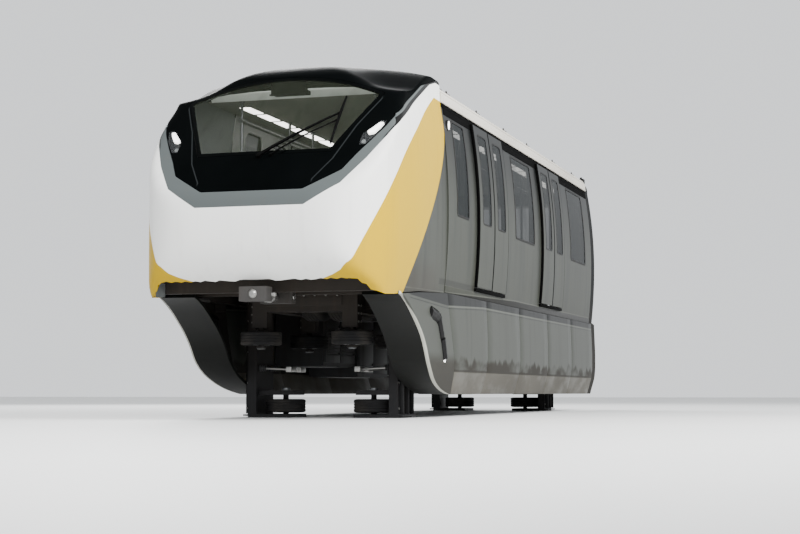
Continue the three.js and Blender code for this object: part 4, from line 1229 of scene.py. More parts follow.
for side, sign in SIDES:
    for doorway, centre in DOORWAYS:
        for place, start in (
            ("ahead", centre + MEETING_GAP),
            ("behind", centre - MEETING_GAP - LEAF_WIDTH),
        ):
            end = start + LEAF_WIDTH
            which = f"{doorway}_{side}_{place}"
            body = f"door_{which}"
            skin, *opening = leaf_skins(start, end, sign)
            leaf = new_piece(f"leaf_{which}", *skin, livery)
            thicken(leaf, LEAF_OUTER - LEAF_INNER, lining, livery)
            settle(leaf, body, "body_grey", body)
            sheet = pane_sheet(*opening, LEAF_OUTER - 0.004, sign)
            glass = new_piece(f"leaf_pane_{which}", *sheet, window_glass)
            thicken(glass, LEAF_PANE_DEPTH)
            settle(glass, body, "window_glass")
            lip = {"out": LEAF_OUTER - 0.002, "depth": 0.031, "sign": sign, "steps": 24}
            trims = [
                wall_bar(*ends, LEAF_BOTTOM, LEAF_TOP, **lip)
                for ends in ((start, start + LIP), (end - LIP, end))
            ]
            solid(f"leaf_lips_{which}", trims, seal_black, body, "frame_black", bevel=0.003)
            ring = framed_ring(*opening, LEAF_OUTER + 0.002, 0.016, LEAF_LAP, LEAF_INSIDE, sign)
            solid(f"leaf_gasket_{which}", [ring], rubber, body, "frame_black", bevel=0.001)

# Roof: extruded aluminium planks welded side by side, painted cream, with a gutter along
# both edges, two air conditioning lids and a row of small lifting eyes by the gutters.
LIDS = ((-4.700, -2.300), (0.300, 2.700))
LID_HALF = 0.900
LID_TOP = 4.407
LIFTING_EYES = (-5.6, -3.9, -1.9, -0.3, 1.35, 2.95, 3.35)
lifting_grey = Finish("lifting_grey", colour(60, 60, 62), 0.5, Metallic=0.4)
lifting_grey.weather(ROAD_DUST, 0.4, 4.4, 4.2, 0.2)
ROOF_PAINT = colour(196, 191, 181)
roof_cream = Finish("roof_cream", ROOF_PAINT, 0.5)
plank_joint = (abs(roof_cream.y) * (1 / 0.29)).math("FRACT").near(0.0, 0.012, 0.02)
cross_joint = (roof_cream.x * (1 / 1.65) + 0.4).math("FRACT").near(0.0, 0.0025, 0.003)
roof_cream.emboss(1 - plank_joint.most(cross_joint), 0.002)
roof_dirt = roof_cream.noise(1.1, (0.4, 1, 1), 5.0, 4.0).rise(0.4, 0.75)
drip = roof_cream.noise(11.0, (1, 0.05, 0.05), 3.0, 6.0).rise(0.55, 0.8)
soot = (roof_dirt * 0.22 + drip * 0.28 + plank_joint.most(cross_joint) * 0.5).least(1.0)
roof_cream.paint(soot, ROOF_PAINT, colour(112, 106, 95))
roof_cream.set("Roughness", soot * 0.3 + 0.42)
roof_edge = half_width(CANTRAIL) + 0.022
roof_half = roof_curve(roof_edge, ROOF_FORM)
rebate = [(roof_edge - 0.028, 4.060), (roof_edge - 0.028, GUTTER_FOOT), (roof_edge, GUTTER_FOOT)]
lip = [(roof_edge + 0.003, 4.090), (roof_edge - 0.005, 4.098), (roof_edge - 0.006, 4.104)]
roof_half = np.vstack([rebate, lip, roof_half[1:]])
roof_ring = closed_ring(roof_half)
roof_x = np.append(np.arange(BODY_REAR, NOSE_JOINT - 0.002, 0.5), NOSE_JOINT - 0.002)
roof_rings = [section_at(x, roof_ring) for x in roof_x]
lid_shapes = [
    block((start, -LID_HALF, 4.330), (end, LID_HALF, LID_TOP - 0.012)) for start, end in LIDS
]
rims = [
    block((start + 0.05, -LID_HALF + 0.05, 4.380), (end - 0.05, LID_HALF - 0.05, LID_TOP))
    for start, end in LIDS
]
solid("roof_skin", [loft(roof_rings)], roof_cream, "car_body", "roof_cream", "roof")
nose_arch = closed_ring(np.maximum(roof_curve(half_width(CANTRAIL), NOSE_ROOF) - 0.02, 0))
roof_arch = closed_ring(np.maximum(roof_curve(half_width(CANTRAIL), ROOF_FORM) - 0.05, 0))
rear_face = np.vstack([nose_arch, roof_arch[::-1]])
face_rings = [section_at(NOSE_JOINT + x, rear_face) for x in (0.006, 0.030)]
solid("nose_rear_face", [loft(face_rings)], mask_gloss, "car_body", "mask_black")
solid("roof_lids", [*lid_shapes, *rims], roof_cream, "car_body", "roof_cream", bevel=0.008)
eyes = []
half_turn = np.linspace(0, np.pi, 9)
for x in LIFTING_EYES:
    arch = [(x + 0.035 * math.cos(t), 1.33, 4.305 + 0.05 * math.sin(t)) for t in half_turn]
    eyes.append(rod(arch, 0.009, 8))
    eyes.append(block((x - 0.06, 1.29, 4.280), (x + 0.06, 1.37, 4.312)))
solid("lifting_eyes", both_sides(eyes), lifting_grey, "car_body", "roof_cream", bevel=0.003)

# Side skirts: five pressed panels on each side, hung edge to edge below the sill. The lower
# strip tucks in towards the beam; road dirt lies on it and above its crease.
SKIRT_BOTTOM = 0.300
SKIRT_TOP = 1.592
SKIRT_WALL = 0.040
SKIRT_LINE = ((1.470, 0.300), (1.555, 0.590), (1.573, 0.760), (1.575, 1.050), (1.556, 1.592))
PANEL_JOINTS = (-4.265, -2.315, -0.315, 1.685)
JOINT_LOW, JOINT_HIGH = 3.285, 3.785
JOINT_GAP = 0.008
PANEL_GAP = 0.005
SKIRT_DIRT = colour(36, 32, 27)
STRIP_DUST = colour(92, 89, 82)

skirt_paint = Finish("skirt_paint", BODY_GREY, 0.42)
dirt_cloud = skirt_paint.noise(1.4, (0.6, 1, 1.2), 5.0, 2.2)
drips = skirt_paint.noise(5.0, (1, 1, 0.05), 4.0, 4.1)
dirt_line = skirt_paint.z - drips * 0.34 + 0.16 + dirt_cloud * 0.06
patches = skirt_paint.noise(3.0, (0.5, 1, 1), 5.0, 8.0).rise(0.3, 0.6)
dirt = dirt_line.rise(0.80, 0.72) * (patches * 0.75 + 0.15)
rain = skirt_paint.noise(8.0, (1, 1, 0.05), 3.0, 5.5).rise(0.5, 0.75) * 0.12
# A darker line along the crease.
crease_darkening = skirt_paint.z.near(0.60, 0.008, 0.02) * 0.5
film = (dirt + rain + crease_darkening).least(0.85)
skirt_shade = skirt_paint.blend(film, BODY_GREY, SKIRT_DIRT)
lower_strip = skirt_paint.z.rise(0.592, 0.588) * (dirt_cloud * 0.8 + 0.2)
skirt_shade = skirt_paint.blend(lower_strip, skirt_shade, STRIP_DUST)
# Painted shade: the dark sill band runs on over the skirt's top, with a painted highlight line
# under it and a fine dark line below that.
band_foot = 1.50 - (skirt_paint.x - 1.9).most(0.0) * 0.0355
over_foot = skirt_paint.z - band_foot
band = over_foot.rise(-0.003, 0.003).most(over_foot.near(-0.040, 0.004, 0.003) * 0.8)
skirt_shade = skirt_paint.blend(over_foot.near(-0.014, 0.008, 0.003), skirt_shade, SILL_HIGHLIGHT)
skirt_paint.paint(band, skirt_shade, SILL_SHADE)
skirt_paint.set("Roughness", film * 0.3 + 0.4)


def skirt_half(z, out=0.0):
    """Half the width over the skirts at a height, with the pressed creases softened."""
    y, heights = np.array(SKIRT_LINE).T
    spread = [np.interp(z + shift, heights, y) for shift in (-0.014, 0.0, 0.014)]
    return np.mean(spread, axis=0) + out


def skirt_joint(z):
    """Place along the car of the leaning joint between side and front skirt."""
    share = (z - SKIRT_BOTTOM) / (SILL - SKIRT_BOTTOM)
    return JOINT_LOW + (JOINT_HIGH - JOINT_LOW) * share


def skirt_heights(low, high):
    """Heights of a skirt's rows, closer together at its creases."""
    return steps_with(low, high, 0.07, (0.59, 0.76), 0.03, 0.010)


skirt_z = skirt_heights(SKIRT_BOTTOM, SKIRT_TOP)
panel_edges = [BODY_REAR, *PANEL_JOINTS]
for side, sign in SIDES:
    shapes = []
    for i, start in enumerate(panel_edges):
        last = i + 1 == len(panel_edges)
        rings = []
        for share in np.linspace(0, 1, 7):
            outer, inner = [], []
            for z in skirt_z:
                end = skirt_joint(z) - JOINT_GAP if last else panel_edges[i + 1] - PANEL_GAP
                x = start + share * (end - start)
                outer.append((x, sign * skirt_half(z), z))
                inner.append((x, sign * skirt_half(z, -SKIRT_WALL), z))
            rings.append(np.array(outer + inner[::-1]))
        shapes.append(loft(rings))
    node = f"side_skirt_{side}"
    solid(f"skirt_panels_{side}", shapes, skirt_paint, "car_body", "skirt_grey", node, bevel=0.003)

# Front skirts: one raked panel on each side ahead of the joint. It turns in at the front
# with a painted highlight along the fold and painted shade on the return. A bent slot in it
# is closed by black backs that stand in for the shade inside; a small round lamp sits at its foot.
RAKE_TOE = (3.360, 0.300)
RAKE_KNEE = (4.460, 0.400)
RAKE_MIDDLE = (4.740, 0.850)
RAKE_BROW = (4.990, 1.175)
RAKE_HEAD = (5.725, 1.472)
SKIRT_OPENING = 1.070
LEVEL_TOP = 1.470
FOLD_RADIUS = 0.050
FRONT_TOP = ((3.785, 1.588), (4.900, 1.536), (5.725, 1.474))
SLOTS = (
    ((4.490, 1.315), (4.170, 1.260)),
    ((4.170, 1.260), (4.060, 1.050)),
    ((4.000, 0.970), (3.915, 0.785)),
)
SLOT_HALF = 0.080
SLOT_DEPTH = 0.050
lower_rake = bend(RAKE_TOE, RAKE_KNEE, RAKE_MIDDLE, 40)
upper_rake = bend(RAKE_MIDDLE, RAKE_BROW, RAKE_HEAD, 40)
rake = np.vstack([lower_rake, upper_rake[1:]])
plan_x, plan_y = plan_half[:, 0][::-1], plan_half[:, 1][::-1]


def front_half(x, z):
    """Half the width over the front skirt, which follows the nose's plan towards the front."""
    over_nose = np.interp(x, plan_x, plan_y) + NOSE_SWELL * ease(x, 3.75, 5.25) - 0.006
    return np.minimum(skirt_half(z), over_nose)


def slot_field(points):
    """Distance from the slots in the skirt, below zero inside them."""
    flat = points[:, [0, 2]]
    away = []
    for start, end in SLOTS:
        start, run = np.array(start), np.array(end) - start
        along = np.clip((flat - start) @ run / (run @ run), 0, 1)[:, None]
        away.append(np.linalg.norm(flat - start - along * run, axis=1) - SLOT_HALF)
    return np.min(away, axis=0)


def front_skirt_sheet():
    """Outer face from the joint to the rake, the fold, and the return towards the beam."""
    top_x, top_z = np.array(FRONT_TOP).T
    rows = []
    heights = np.concatenate([skirt_heights(SKIRT_BOTTOM, LEVEL_TOP), rake[2:24:3, 1]])
    for z in np.unique(np.round(heights, 3)):
        x_rake = np.interp(z, rake[:, 1], rake[:, 0])
        x_joint = skirt_joint(z)
        y_fold = front_half(x_rake, z)
        ahead = min(FOLD_RADIUS, 0.45 * (x_rake - x_joint))
        reach = x_rake - ahead
        row = [(x, front_half(x, z), z) for x in np.linspace(x_joint, reach, 60)]
        centre_y = front_half(reach, z)
        for turn in np.linspace(0, np.pi / 2, 8)[1:]:
            y = centre_y + (y_fold - centre_y) * math.sin(turn) - FOLD_RADIUS * (1 - math.cos(turn))
            row.append((reach + ahead * math.sin(turn), y, z))
        last = row[-1][1]
        row += [(x_rake, y, z) for y in np.linspace(last, SKIRT_OPENING, 10)[1:]]
        rows.append(row)
    columns = len(rows[0])
    points = np.array(rows).reshape(-1, 3)
    # The top rows slide up to meet the nose's falling lower edge.
    grow = ease(points[:, 2], 1.2, LEVEL_TOP)
    crown = np.interp(points[:, 0], top_x, top_z)
    behind_head = points[:, 0] < RAKE_HEAD[0] - 0.02
    points[:, 2] += grow * np.maximum(crown - LEVEL_TOP, 0) * behind_head
    return points, strip_faces(len(rows), columns)


FOLD_HIGHLIGHT = colour(176, 176, 166)
RETURN_SHADE = colour(12, 13, 11)
skirt_inside = Finish("skirt_inside", colour(22, 23, 21), 0.6)
skirt_inside.weather(OILY_DUST, 0.4, 1.2, 0.2, 0.3)
slot_shade_black = Finish("slot_shade_black", colour(12, 12, 12), 0.6)
slot_shade_black.scuff(20.0, 0.3, 0.4)
front_paint = Finish("front_skirt_paint", BODY_GREY, 0.42)
fold_mark = front_paint.start.node("Attribute", {"attribute_name": "to_fold"}, {}, "Fac")
# Painted shade, near black, on the return face that turns in towards the beam, and a painted
# highlight along the fold.
turned_in = fold_mark.rise(0.045, 0.055)
fold_highlight = fold_mark.near(0.016, 0.026, 0.020)
front_cloud = front_paint.noise(1.4, (0.6, 1, 1.2), 5.0, 2.2)
front_dirt = (front_paint.z + front_cloud * 0.12).rise(0.90, 0.74) * (front_cloud * 0.7 + 0.3)
shade = front_paint.blend(front_dirt, BODY_GREY, SKIRT_DIRT)
# Painted shade: the dark sill band runs on over the front skirt's top and fades out towards the
# front.
front_band = front_paint.z - (front_paint.x - 3.785) * 0.031 - 1.433
front_band = front_band.rise(-0.003, 0.003).most(front_band.near(-0.035, 0.004, 0.003) * 0.8)
shade = front_paint.blend(front_band * front_paint.x.rise(5.5, 5.3), shade, SILL_SHADE)
shade = front_paint.blend(fold_highlight * (front_cloud * 0.4 + 0.6), shade, FOLD_HIGHLIGHT)
shade = front_paint.blend(turned_in, shade, RETURN_SHADE)
front_paint.set("Base Color", shade)
front_paint.set("Roughness", front_dirt * 0.3 + 0.4)
sheet_points, sheet_faces = front_skirt_sheet()
sheet_skin = cut(sheet_points, sheet_faces, lambda p: -slot_field(p))
for side, sign in SIDES:
    points, faces = on_side(*sheet_skin, sign)
    panel = f"front_skirt_panel_{side}"
    front_skirt = new_piece(panel, points, turned_over(faces), front_paint)
    rake_x = np.interp(points[:, 2], rake[:, 1], rake[:, 0])
    behind_fold = np.maximum(rake_x - points[:, 0], 0)
    past_fold = np.maximum(front_half(points[:, 0], points[:, 2]) - abs(points[:, 1]), 0)
    on_side_face = (behind_fold > 0.003) & (past_fold < 0.03)
    mark(front_skirt, "to_fold", np.where(on_side_face, 0.018 - behind_fold, 0.018 + past_fold))
    thicken(front_skirt, SKIRT_WALL, skirt_inside, front_paint)
    settle(front_skirt, "car_body", "skirt_grey", f"front_skirt_{side}")
    # Painted shade: black backs close the slots and stand in for the shade inside them.
    backs = []
    for start, end in SLOTS:
        run = unit(np.array(end) - start)
        line = [np.array(start) - run * 0.03, np.array(end) + run * 0.03]
        place = [(x, sign * (front_half(x, z) - SLOT_DEPTH), z) for x, z in line]
        backs.append(rod(place, SLOT_HALF + 0.006, 10))
    solid(f"slot_backs_{side}", backs, slot_shade_black, "car_body", "frame_black")
    lamp_x, lamp_z = SLOTS[-1][1][0] - 0.030, SLOTS[-1][1][1] - 0.060
    lamp_y = sign * (front_half(lamp_x, lamp_z) - 0.006)
    spot = rod([(lamp_x, lamp_y + sign * shift, lamp_z) for shift in (-0.02, 0.008)], 0.024, 20)
    solid(f"skirt_lamp_{side}", [spot], lamp_white, "car_body", "lens", bevel=0.005)

# Gangway cover: a dark elastic band that closes the gap to the next car, from skirt to
# roof, in shallow folds.
REAR_FACE = -6.665
GANGWAY_INSET = 0.025
GANGWAY_DEPTH = 0.060
FOLDS = 7
FOLD_DEPTH = 0.012
GANGWAY_SHADE = colour(30, 31, 32)
gangway_grey = Finish("gangway_grey", GANGWAY_SHADE, 0.7)
gangway_grey.grain(90.0, 0.0006, 2.0)
gangway_grey.weather(ROAD_DUST, 0.16, 0.4, 2.8, 0.2)


def band_outline(inset):
    """Half the gangway's section, from the foot of the skirts to the middle of the roof."""
    low = [(skirt_half(z, -inset), z) for z in skirt_heights(SKIRT_BOTTOM, SILL - 0.008)]
    high = [(half_width(z) - inset, z) for z in np.linspace(SILL + 0.03, CANTRAIL, 30)]
    roof_part = roof_curve(half_width(CANTRAIL), ROOF_FORM)
    return np.vstack([low, high, roof_part - (inset, 0) * (roof_part[:, :1] > 0.3) - (0, inset)])


band_x = np.linspace(REAR_FACE, BODY_REAR - 0.005, 8 * FOLDS + 1)
fold_wave = 0.5 - 0.5 * np.cos(np.linspace(0, 2 * np.pi * FOLDS, len(band_x)))
cover_rings = []
for x, wave in zip(band_x, fold_wave):
    outer = band_outline(GANGWAY_INSET + FOLD_DEPTH * wave)
    inner = band_outline(GANGWAY_INSET + GANGWAY_DEPTH + FOLD_DEPTH * wave)
    cover_rings.append(section_at(x, np.vstack([outer, inner[::-1]])))
covers = both_sides([loft(cover_rings)])
tread_plate = block((REAR_FACE, -1.40, 1.560), (BODY_REAR - 0.005, 1.40, 1.674))
solid("gangway_cover", covers, gangway_grey, "car_body", "bellows_grey", "gangway")
tread_steel = Finish("tread_steel", colour(88, 88, 86), 0.45, Metallic=0.7)
diamonds = ((tread_steel.x * 90).math("SINE") * (tread_steel.y * 90).math("SINE")).rise(0.2, 0.7)
tread_steel.emboss(diamonds, 0.0015)
tread_steel.scuff(3.0, 0.3, 0.3)
solid("gangway_sill", [tread_plate], tread_steel, "car_body", "bellows_grey", bevel=0.004)
fitting = [
    block((-6.45, 1.30, 4.24), (-6.29, 1.42, 4.325)),
    rod([(-6.37, 1.36, z) for z in (4.30, 4.36)], 0.022, 12),
]
solid("gangway_fittings", both_sides(fitting), rubber, "car_body", "frame_black", bevel=0.006)
wear("end_wall", lining)

# Coupler and drawbar: cast steel heads on round bars, painted grey and oily at the joints.
# The pins, the collars and the nose of the head are bare brushed steel.
machine_grey = Finish("machine_grey", colour(66, 67, 68), 0.5, Metallic=0.35)
machine_grey.grain(55.0, 0.0006)
machine_grey.weather(OILY_DUST, 0.5, 1.6, 0.4, 0.4)
bare_steel = Finish("bare_steel", colour(150, 150, 148), 0.32, Metallic=0.9)
brushed = bare_steel.noise(40.0, (1, 0.1, 1), 3.0)
bare_steel.set("Roughness", brushed * 0.25 + 0.22)
bare_steel.paint(brushed * 0.5, colour(156, 156, 154), colour(98, 92, 84))
wear("coupler", machine_grey)
wear("drawbar", machine_grey)
HEAD_HEIGHT = 1.455
BAR_HEIGHT = 1.452
PIVOT_HEIGHT = 1.46
coupler_parts = [
    rod([(6.482, 0.0, HEAD_HEIGHT), (6.510, 0.0, HEAD_HEIGHT)], [0.055, 0.030], 24),
    rod([(6.30, y, HEAD_HEIGHT) for y in (-0.22, 0.22)], 0.026, 16),
    rod([(x, 0, BAR_HEIGHT) for x in (6.02, 6.06)], 0.075, 24),
    rod([(x, 0, BAR_HEIGHT) for x in (5.94, 5.98)], 0.075, 24),
    rod([(5.680, y, PIVOT_HEIGHT) for y in (-0.215, 0.215)], 0.034, 20),
]
solid("coupler_fittings", coupler_parts, bare_steel, "car_body", "machine_grey", bevel=0.003)

# Underframe: welded steel, black and dusty, with cable trays, air pipes and brackets below
# the floor plate that show from the front and between the skirts.
frame_black = Finish("frame_black", colour(27, 27, 28), 0.55, Metallic=0.2)
frame_black.grain(70.0, 0.0005)
frame_black.weather(OILY_DUST, 0.6, 1.7, 0.2, 0.35)
wear("underframe", frame_black)
# Side place, height and radius of each pipe.
PIPES = ((0.30, 1.585, 0.019), (0.35, 1.592, 0.013), (-0.32, 1.588, 0.016), (-1.20, 1.47, 0.022))
pipe_runs = []
for y, z, radius in PIPES:
    for start, end in ((-3.30, 2.30), (5.00, 5.60)):
        pipe_runs.append(rod([(start, y, z), (end, y, z)], radius, 12))
solid("air_pipes", pipe_runs, machine_grey, "car_body", "machine_grey")
trays = [block((-3.3, y - 0.07, 1.560), (2.3, y + 0.07, 1.638)) for y in (0.9, -0.9)]
for x in np.arange(4.95, 5.9, 0.30):
    trays.append(block((x, -1.15, 1.575), (x + 0.05, 1.15, 1.638)))
solid("cable_trays", trays, frame_black, "car_body", "frame_black", bevel=0.004)

# Equipment boxes: grey steel cases between the bogies, each with lids below and on its
# inner side, round latches and, on every second one, two sets of cooling louvres. A case is
# given by its rear end, its front end, its inner side and its foot.
EQUIPMENT = (
    (-3.180, -1.950, 0.640, 0.620),
    (-1.960, -0.640, 0.700, 0.760),
    (-0.650, 0.820, 0.640, 0.560),
    (0.810, 2.200, 0.680, 0.700),
)
CASE_OUTER = 1.36
LID_HEAD = 1.40
LID_INSET = 0.05
LID_DEPTH = 0.012
SLAT_LEAN = math.radians(28)
LOUVRE = {"Count": 9, "Pitch": 0.045, "Size": (0.5, 0.018, 0.006)}


def open_group(name, inputs):
    """A node group with a geometry input ahead of the named ones, and its entry's sockets."""
    tree = bpy.data.node_groups.new(name, "GeometryNodeTree")
    add = tree.interface.new_socket
    add("Start", in_out="INPUT", socket_type="NodeSocketGeometry")
    sockets = {
        label: add(label, in_out="INPUT", socket_type=f"NodeSocket{kind}").identifier
        for label, kind in inputs.items()
    }
    add("Geometry", in_out="OUTPUT", socket_type="NodeSocketGeometry")
    return tree, sockets, tree.nodes.new("NodeGroupInput").outputs


def close_group(tree, instances, finish):
    """Gives the instances back as one painted mesh."""
    made, link = tree.nodes.new, tree.links.new
    copies, paint = made("GeometryNodeRealizeInstances"), made("GeometryNodeSetMaterial")
    paint.inputs["Material"].default_value = finish.material
    link(instances, copies.inputs["Geometry"])
    link(copies.outputs["Geometry"], paint.inputs["Geometry"])
    link(paint.outputs["Geometry"], made("NodeGroupOutput").inputs["Geometry"])


def slat_maker(name, finish):
    """Repeats one leaning slat up a line from every point; count, pitch and size are inputs."""
    inputs = {"Count": "Int", "Pitch": "Float", "Size": "Vector"}
    tree, sockets, entry = open_group(name, inputs)
    made, link = tree.nodes.new, tree.links.new
    rise = made("ShaderNodeCombineXYZ")
    line, slat = made("GeometryNodeMeshLine"), made("GeometryNodeMeshCube")
    stack, lean = made("GeometryNodeInstanceOnPoints"), made("GeometryNodeRotateInstances")
    starts = made("GeometryNodeInstanceOnPoints")
    link(entry["Count"], line.inputs["Count"])
    link(entry["Pitch"], rise.inputs["Z"])
    link(rise.outputs["Vector"], line.inputs["Offset"])
    link(entry["Size"], slat.inputs["Size"])
    link(line.outputs["Mesh"], stack.inputs["Points"])
    link(slat.outputs["Mesh"], stack.inputs["Instance"])
    link(stack.outputs["Instances"], lean.inputs["Instances"])
    lean.inputs["Rotation"].default_value = (SLAT_LEAN, 0, 0)
    link(entry["Start"], starts.inputs["Points"])
    link(lean.outputs["Instances"], starts.inputs["Instance"])
    close_group(tree, starts.outputs["Instances"], finish)
    return tree, sockets


def made_by_nodes(name, places, group, values, body, slot, normals=None):
    """A piece of what the node group makes at each place."""
    tree, sockets = group
    mesh = bpy.data.meshes.new(name)
    mesh.from_pydata([tuple(map(float, p)) for p in places], [], [])
    if normals is not None:
        layer = mesh.attributes.new("facing", "FLOAT_VECTOR", "POINT")
        layer.data.foreach_set("vector", np.asarray(normals, np.float32).ravel())
    piece = bpy.data.objects.new(name, mesh)
    scene_objects.link(piece)
    maker = piece.modifiers.new("maker", "NODES")
    maker.node_group = tree
    for label, value in values.items():
        maker[sockets[label]] = value
    settle(piece, body, slot)


slats = slat_maker("louvre_slats", machine_grey)
for side, sign in SIDES:
    wear(f"equipment_{side}", machine_grey)
    lids, slat_places = [], []
    for i, (start, end, inner, low) in enumerate(EQUIPMENT):
        x0, x1 = start + LID_INSET, end - LID_INSET
        middle = (x0 + x1) / 2
        for a, b in ((x0, middle - 0.01), (middle + 0.01, x1)):
            side_foot = (a, sign * (inner - LID_DEPTH), low + LID_INSET)
            lids.append(block(side_foot, (b, sign * inner, LID_HEAD)))
            under = (a, sign * (inner + 0.04), low - LID_DEPTH)
            lids.append(block(under, (b, sign * CASE_OUTER, low)))
            for z in (low + 0.18, 1.26):
                knob = [(a + 0.06, sign * (inner - lift), z) for lift in (0.028, 0.008)]
                lids.append(rod(knob, 0.016, 12))
        if i % 2:
            for shift in (-0.30, 0.30):
                slat_places.append((middle + shift, sign * (inner - 0.014), low + 0.16))
    solid(f"equipment_lids_{side}", lids, machine_grey, "car_body", "machine_grey", bevel=0.004)
    louvres = f"equipment_louvres_{side}"
    made_by_nodes(louvres, slat_places, slats, LOUVRE, "car_body", "machine_grey")

# Tyres: black rubber with worn running grooves. The two big load tyres of a bogie stand
# side by side on one axle and run on top of the beam; twelve small ones run on its sides.
BEAM_TOP = 1.250
LOAD_RADIUS = 0.505
LOAD_TYRE_Y = 0.184
AXLE_HEIGHT = BEAM_TOP + LOAD_RADIUS
SIDE_TYRE_RADIUS = 0.260
SIDE_TYRE_Y = 0.605
GUIDE_X = 0.870
GUIDE_HEIGHT = 1.000
STABILISER_HEIGHT = 0.150
GROOVE_DEPTH = 0.007
BOGIES = (("front", 3.835), ("rear", -4.865))

tyre_rubber = Finish("tyre_rubber", colour(24, 24, 24), 0.85)
tyre_rubber.grain(120.0, 0.0006)
tyre_dust = tyre_rubber.noise(3.0, (1, 1, 1), 5.0, 3.0).rise(0.4, 0.75) * 0.35
tyre_rubber.paint(tyre_dust, colour(22, 22, 23), colour(78, 73, 66))
tyre_rubber.set("Roughness", tyre_dust * 0.2 + 0.75)
rim_grey = Finish("rim_grey", colour(92, 94, 95), 0.45, Metallic=0.5)
rim_grime = rim_grey.noise(7.0, (1, 1, 1), 5.0, 6.0).rise(0.42, 0.7)
rim_grey.paint(rim_grime * 0.7, colour(96, 98, 99), OILY_DUST)
rim_grey.set("Roughness", rim_grime * 0.35 + 0.38)


def turned(profile, count, centre, axis):
    """A closed profile of (radius, place along the axis) turned about an axis, 1 for y, 2 for z."""
    turns = np.linspace(0, 2 * np.pi, count, endpoint=False)
    radius, place = np.array(profile).T
    across = np.cos(turns)[:, None] * radius
    other = np.sin(turns)[:, None] * radius
    along = np.broadcast_to(place, across.shape)
    parts = (across, along, other) if axis == 1 else (across, other, along)
    points = np.stack(parts, -1).reshape(-1, 3) + centre
    columns = len(profile)
    faces = strip_faces(count, columns, True)
    last = (count - 1) * columns
    faces += [(last + i, last + (i + 1) % columns, (i + 1) % columns, i) for i in range(columns)]
    return points, faces


def tyre_outline(radius, half, foot, grooves):
    """Closed outline of a tyre: bead, bulging side wall, round shoulder and grooved tread."""
    side = bend((foot, -half * 0.80), (foot + 0.02, -half * 1.04), (radius - 0.05, -half * 1.04), 6)
    shoulder = bend(side[-1], (radius - 0.004, -half * 1.02), (radius, -half * 0.78), 6)[1:]
    tread = []
    for centre in grooves:
        for shift, drop in ((-0.007, 0), (-0.004, 1), (0.004, 1), (0.007, 0)):
            tread.append((radius - drop * GROOVE_DEPTH, centre + shift))
    left = [*side, *shoulder]
    right = [(r, -p) for r, p in reversed(left)]
    return [*left, *tread, *right]


def closed_mirror(half):
    """A half outline of (radius, place) and its mirror image across the middle."""
    return [*half, *[(r, -p) for r, p in reversed(half)]]


def bolt_maker(name, finish):
    """A hexagon head on every point, facing its own way; the inputs are its size and height."""
    tree, sockets, entry = open_group(name, {"Radius": "Float", "Height": "Float"})
    made, link = tree.nodes.new, tree.links.new
    head, facing = made("GeometryNodeMeshCylinder"), made("GeometryNodeInputNamedAttribute")
    head.inputs["Vertices"].default_value = 6
    facing.data_type = "FLOAT_VECTOR"
    facing.inputs["Name"].default_value = "facing"
    turn, place = made("FunctionNodeAlignRotationToVector"), made("GeometryNodeInstanceOnPoints")
    turn.axis = "Z"
    link(entry["Radius"], head.inputs["Radius"])
    link(entry["Height"], head.inputs["Depth"])
    link(facing.outputs["Attribute"], turn.inputs["Vector"])
    link(entry["Start"], place.inputs["Points"])
    link(head.outputs["Mesh"], place.inputs["Instance"])
    link(turn.outputs["Rotation"], place.inputs["Rotation"])
    close_group(tree, place.outputs["Instances"], finish)
    return tree, sockets


steel_bolts = bolt_maker("steel_bolts", bare_steel)
dark_bolts = bolt_maker("dark_bolts", frame_black)


def bolts(name, places, normals, radius, height, body, slot="machine_grey", group=steel_bolts):
    """Bolt heads at the places, each facing along its normal."""
    values = {"Radius": radius, "Height": height}
    made_by_nodes(name, places, group, values, body, slot, normals)


def ring_of(centre, radius, count, axis, level):
    """Places on a circle about an axis, at a level along it."""
    turns = np.arange(count) * 2 * np.pi / count + 0.2
    flat = [(radius * math.cos(t), radius * math.sin(t)) for t in turns]
    if axis == 1:
        return [(centre[0] + a, centre[1] + level, centre[2] + b) for a, b in flat]
    return [(centre[0] + a, centre[1] + b, centre[2] + level) for a, b in flat]


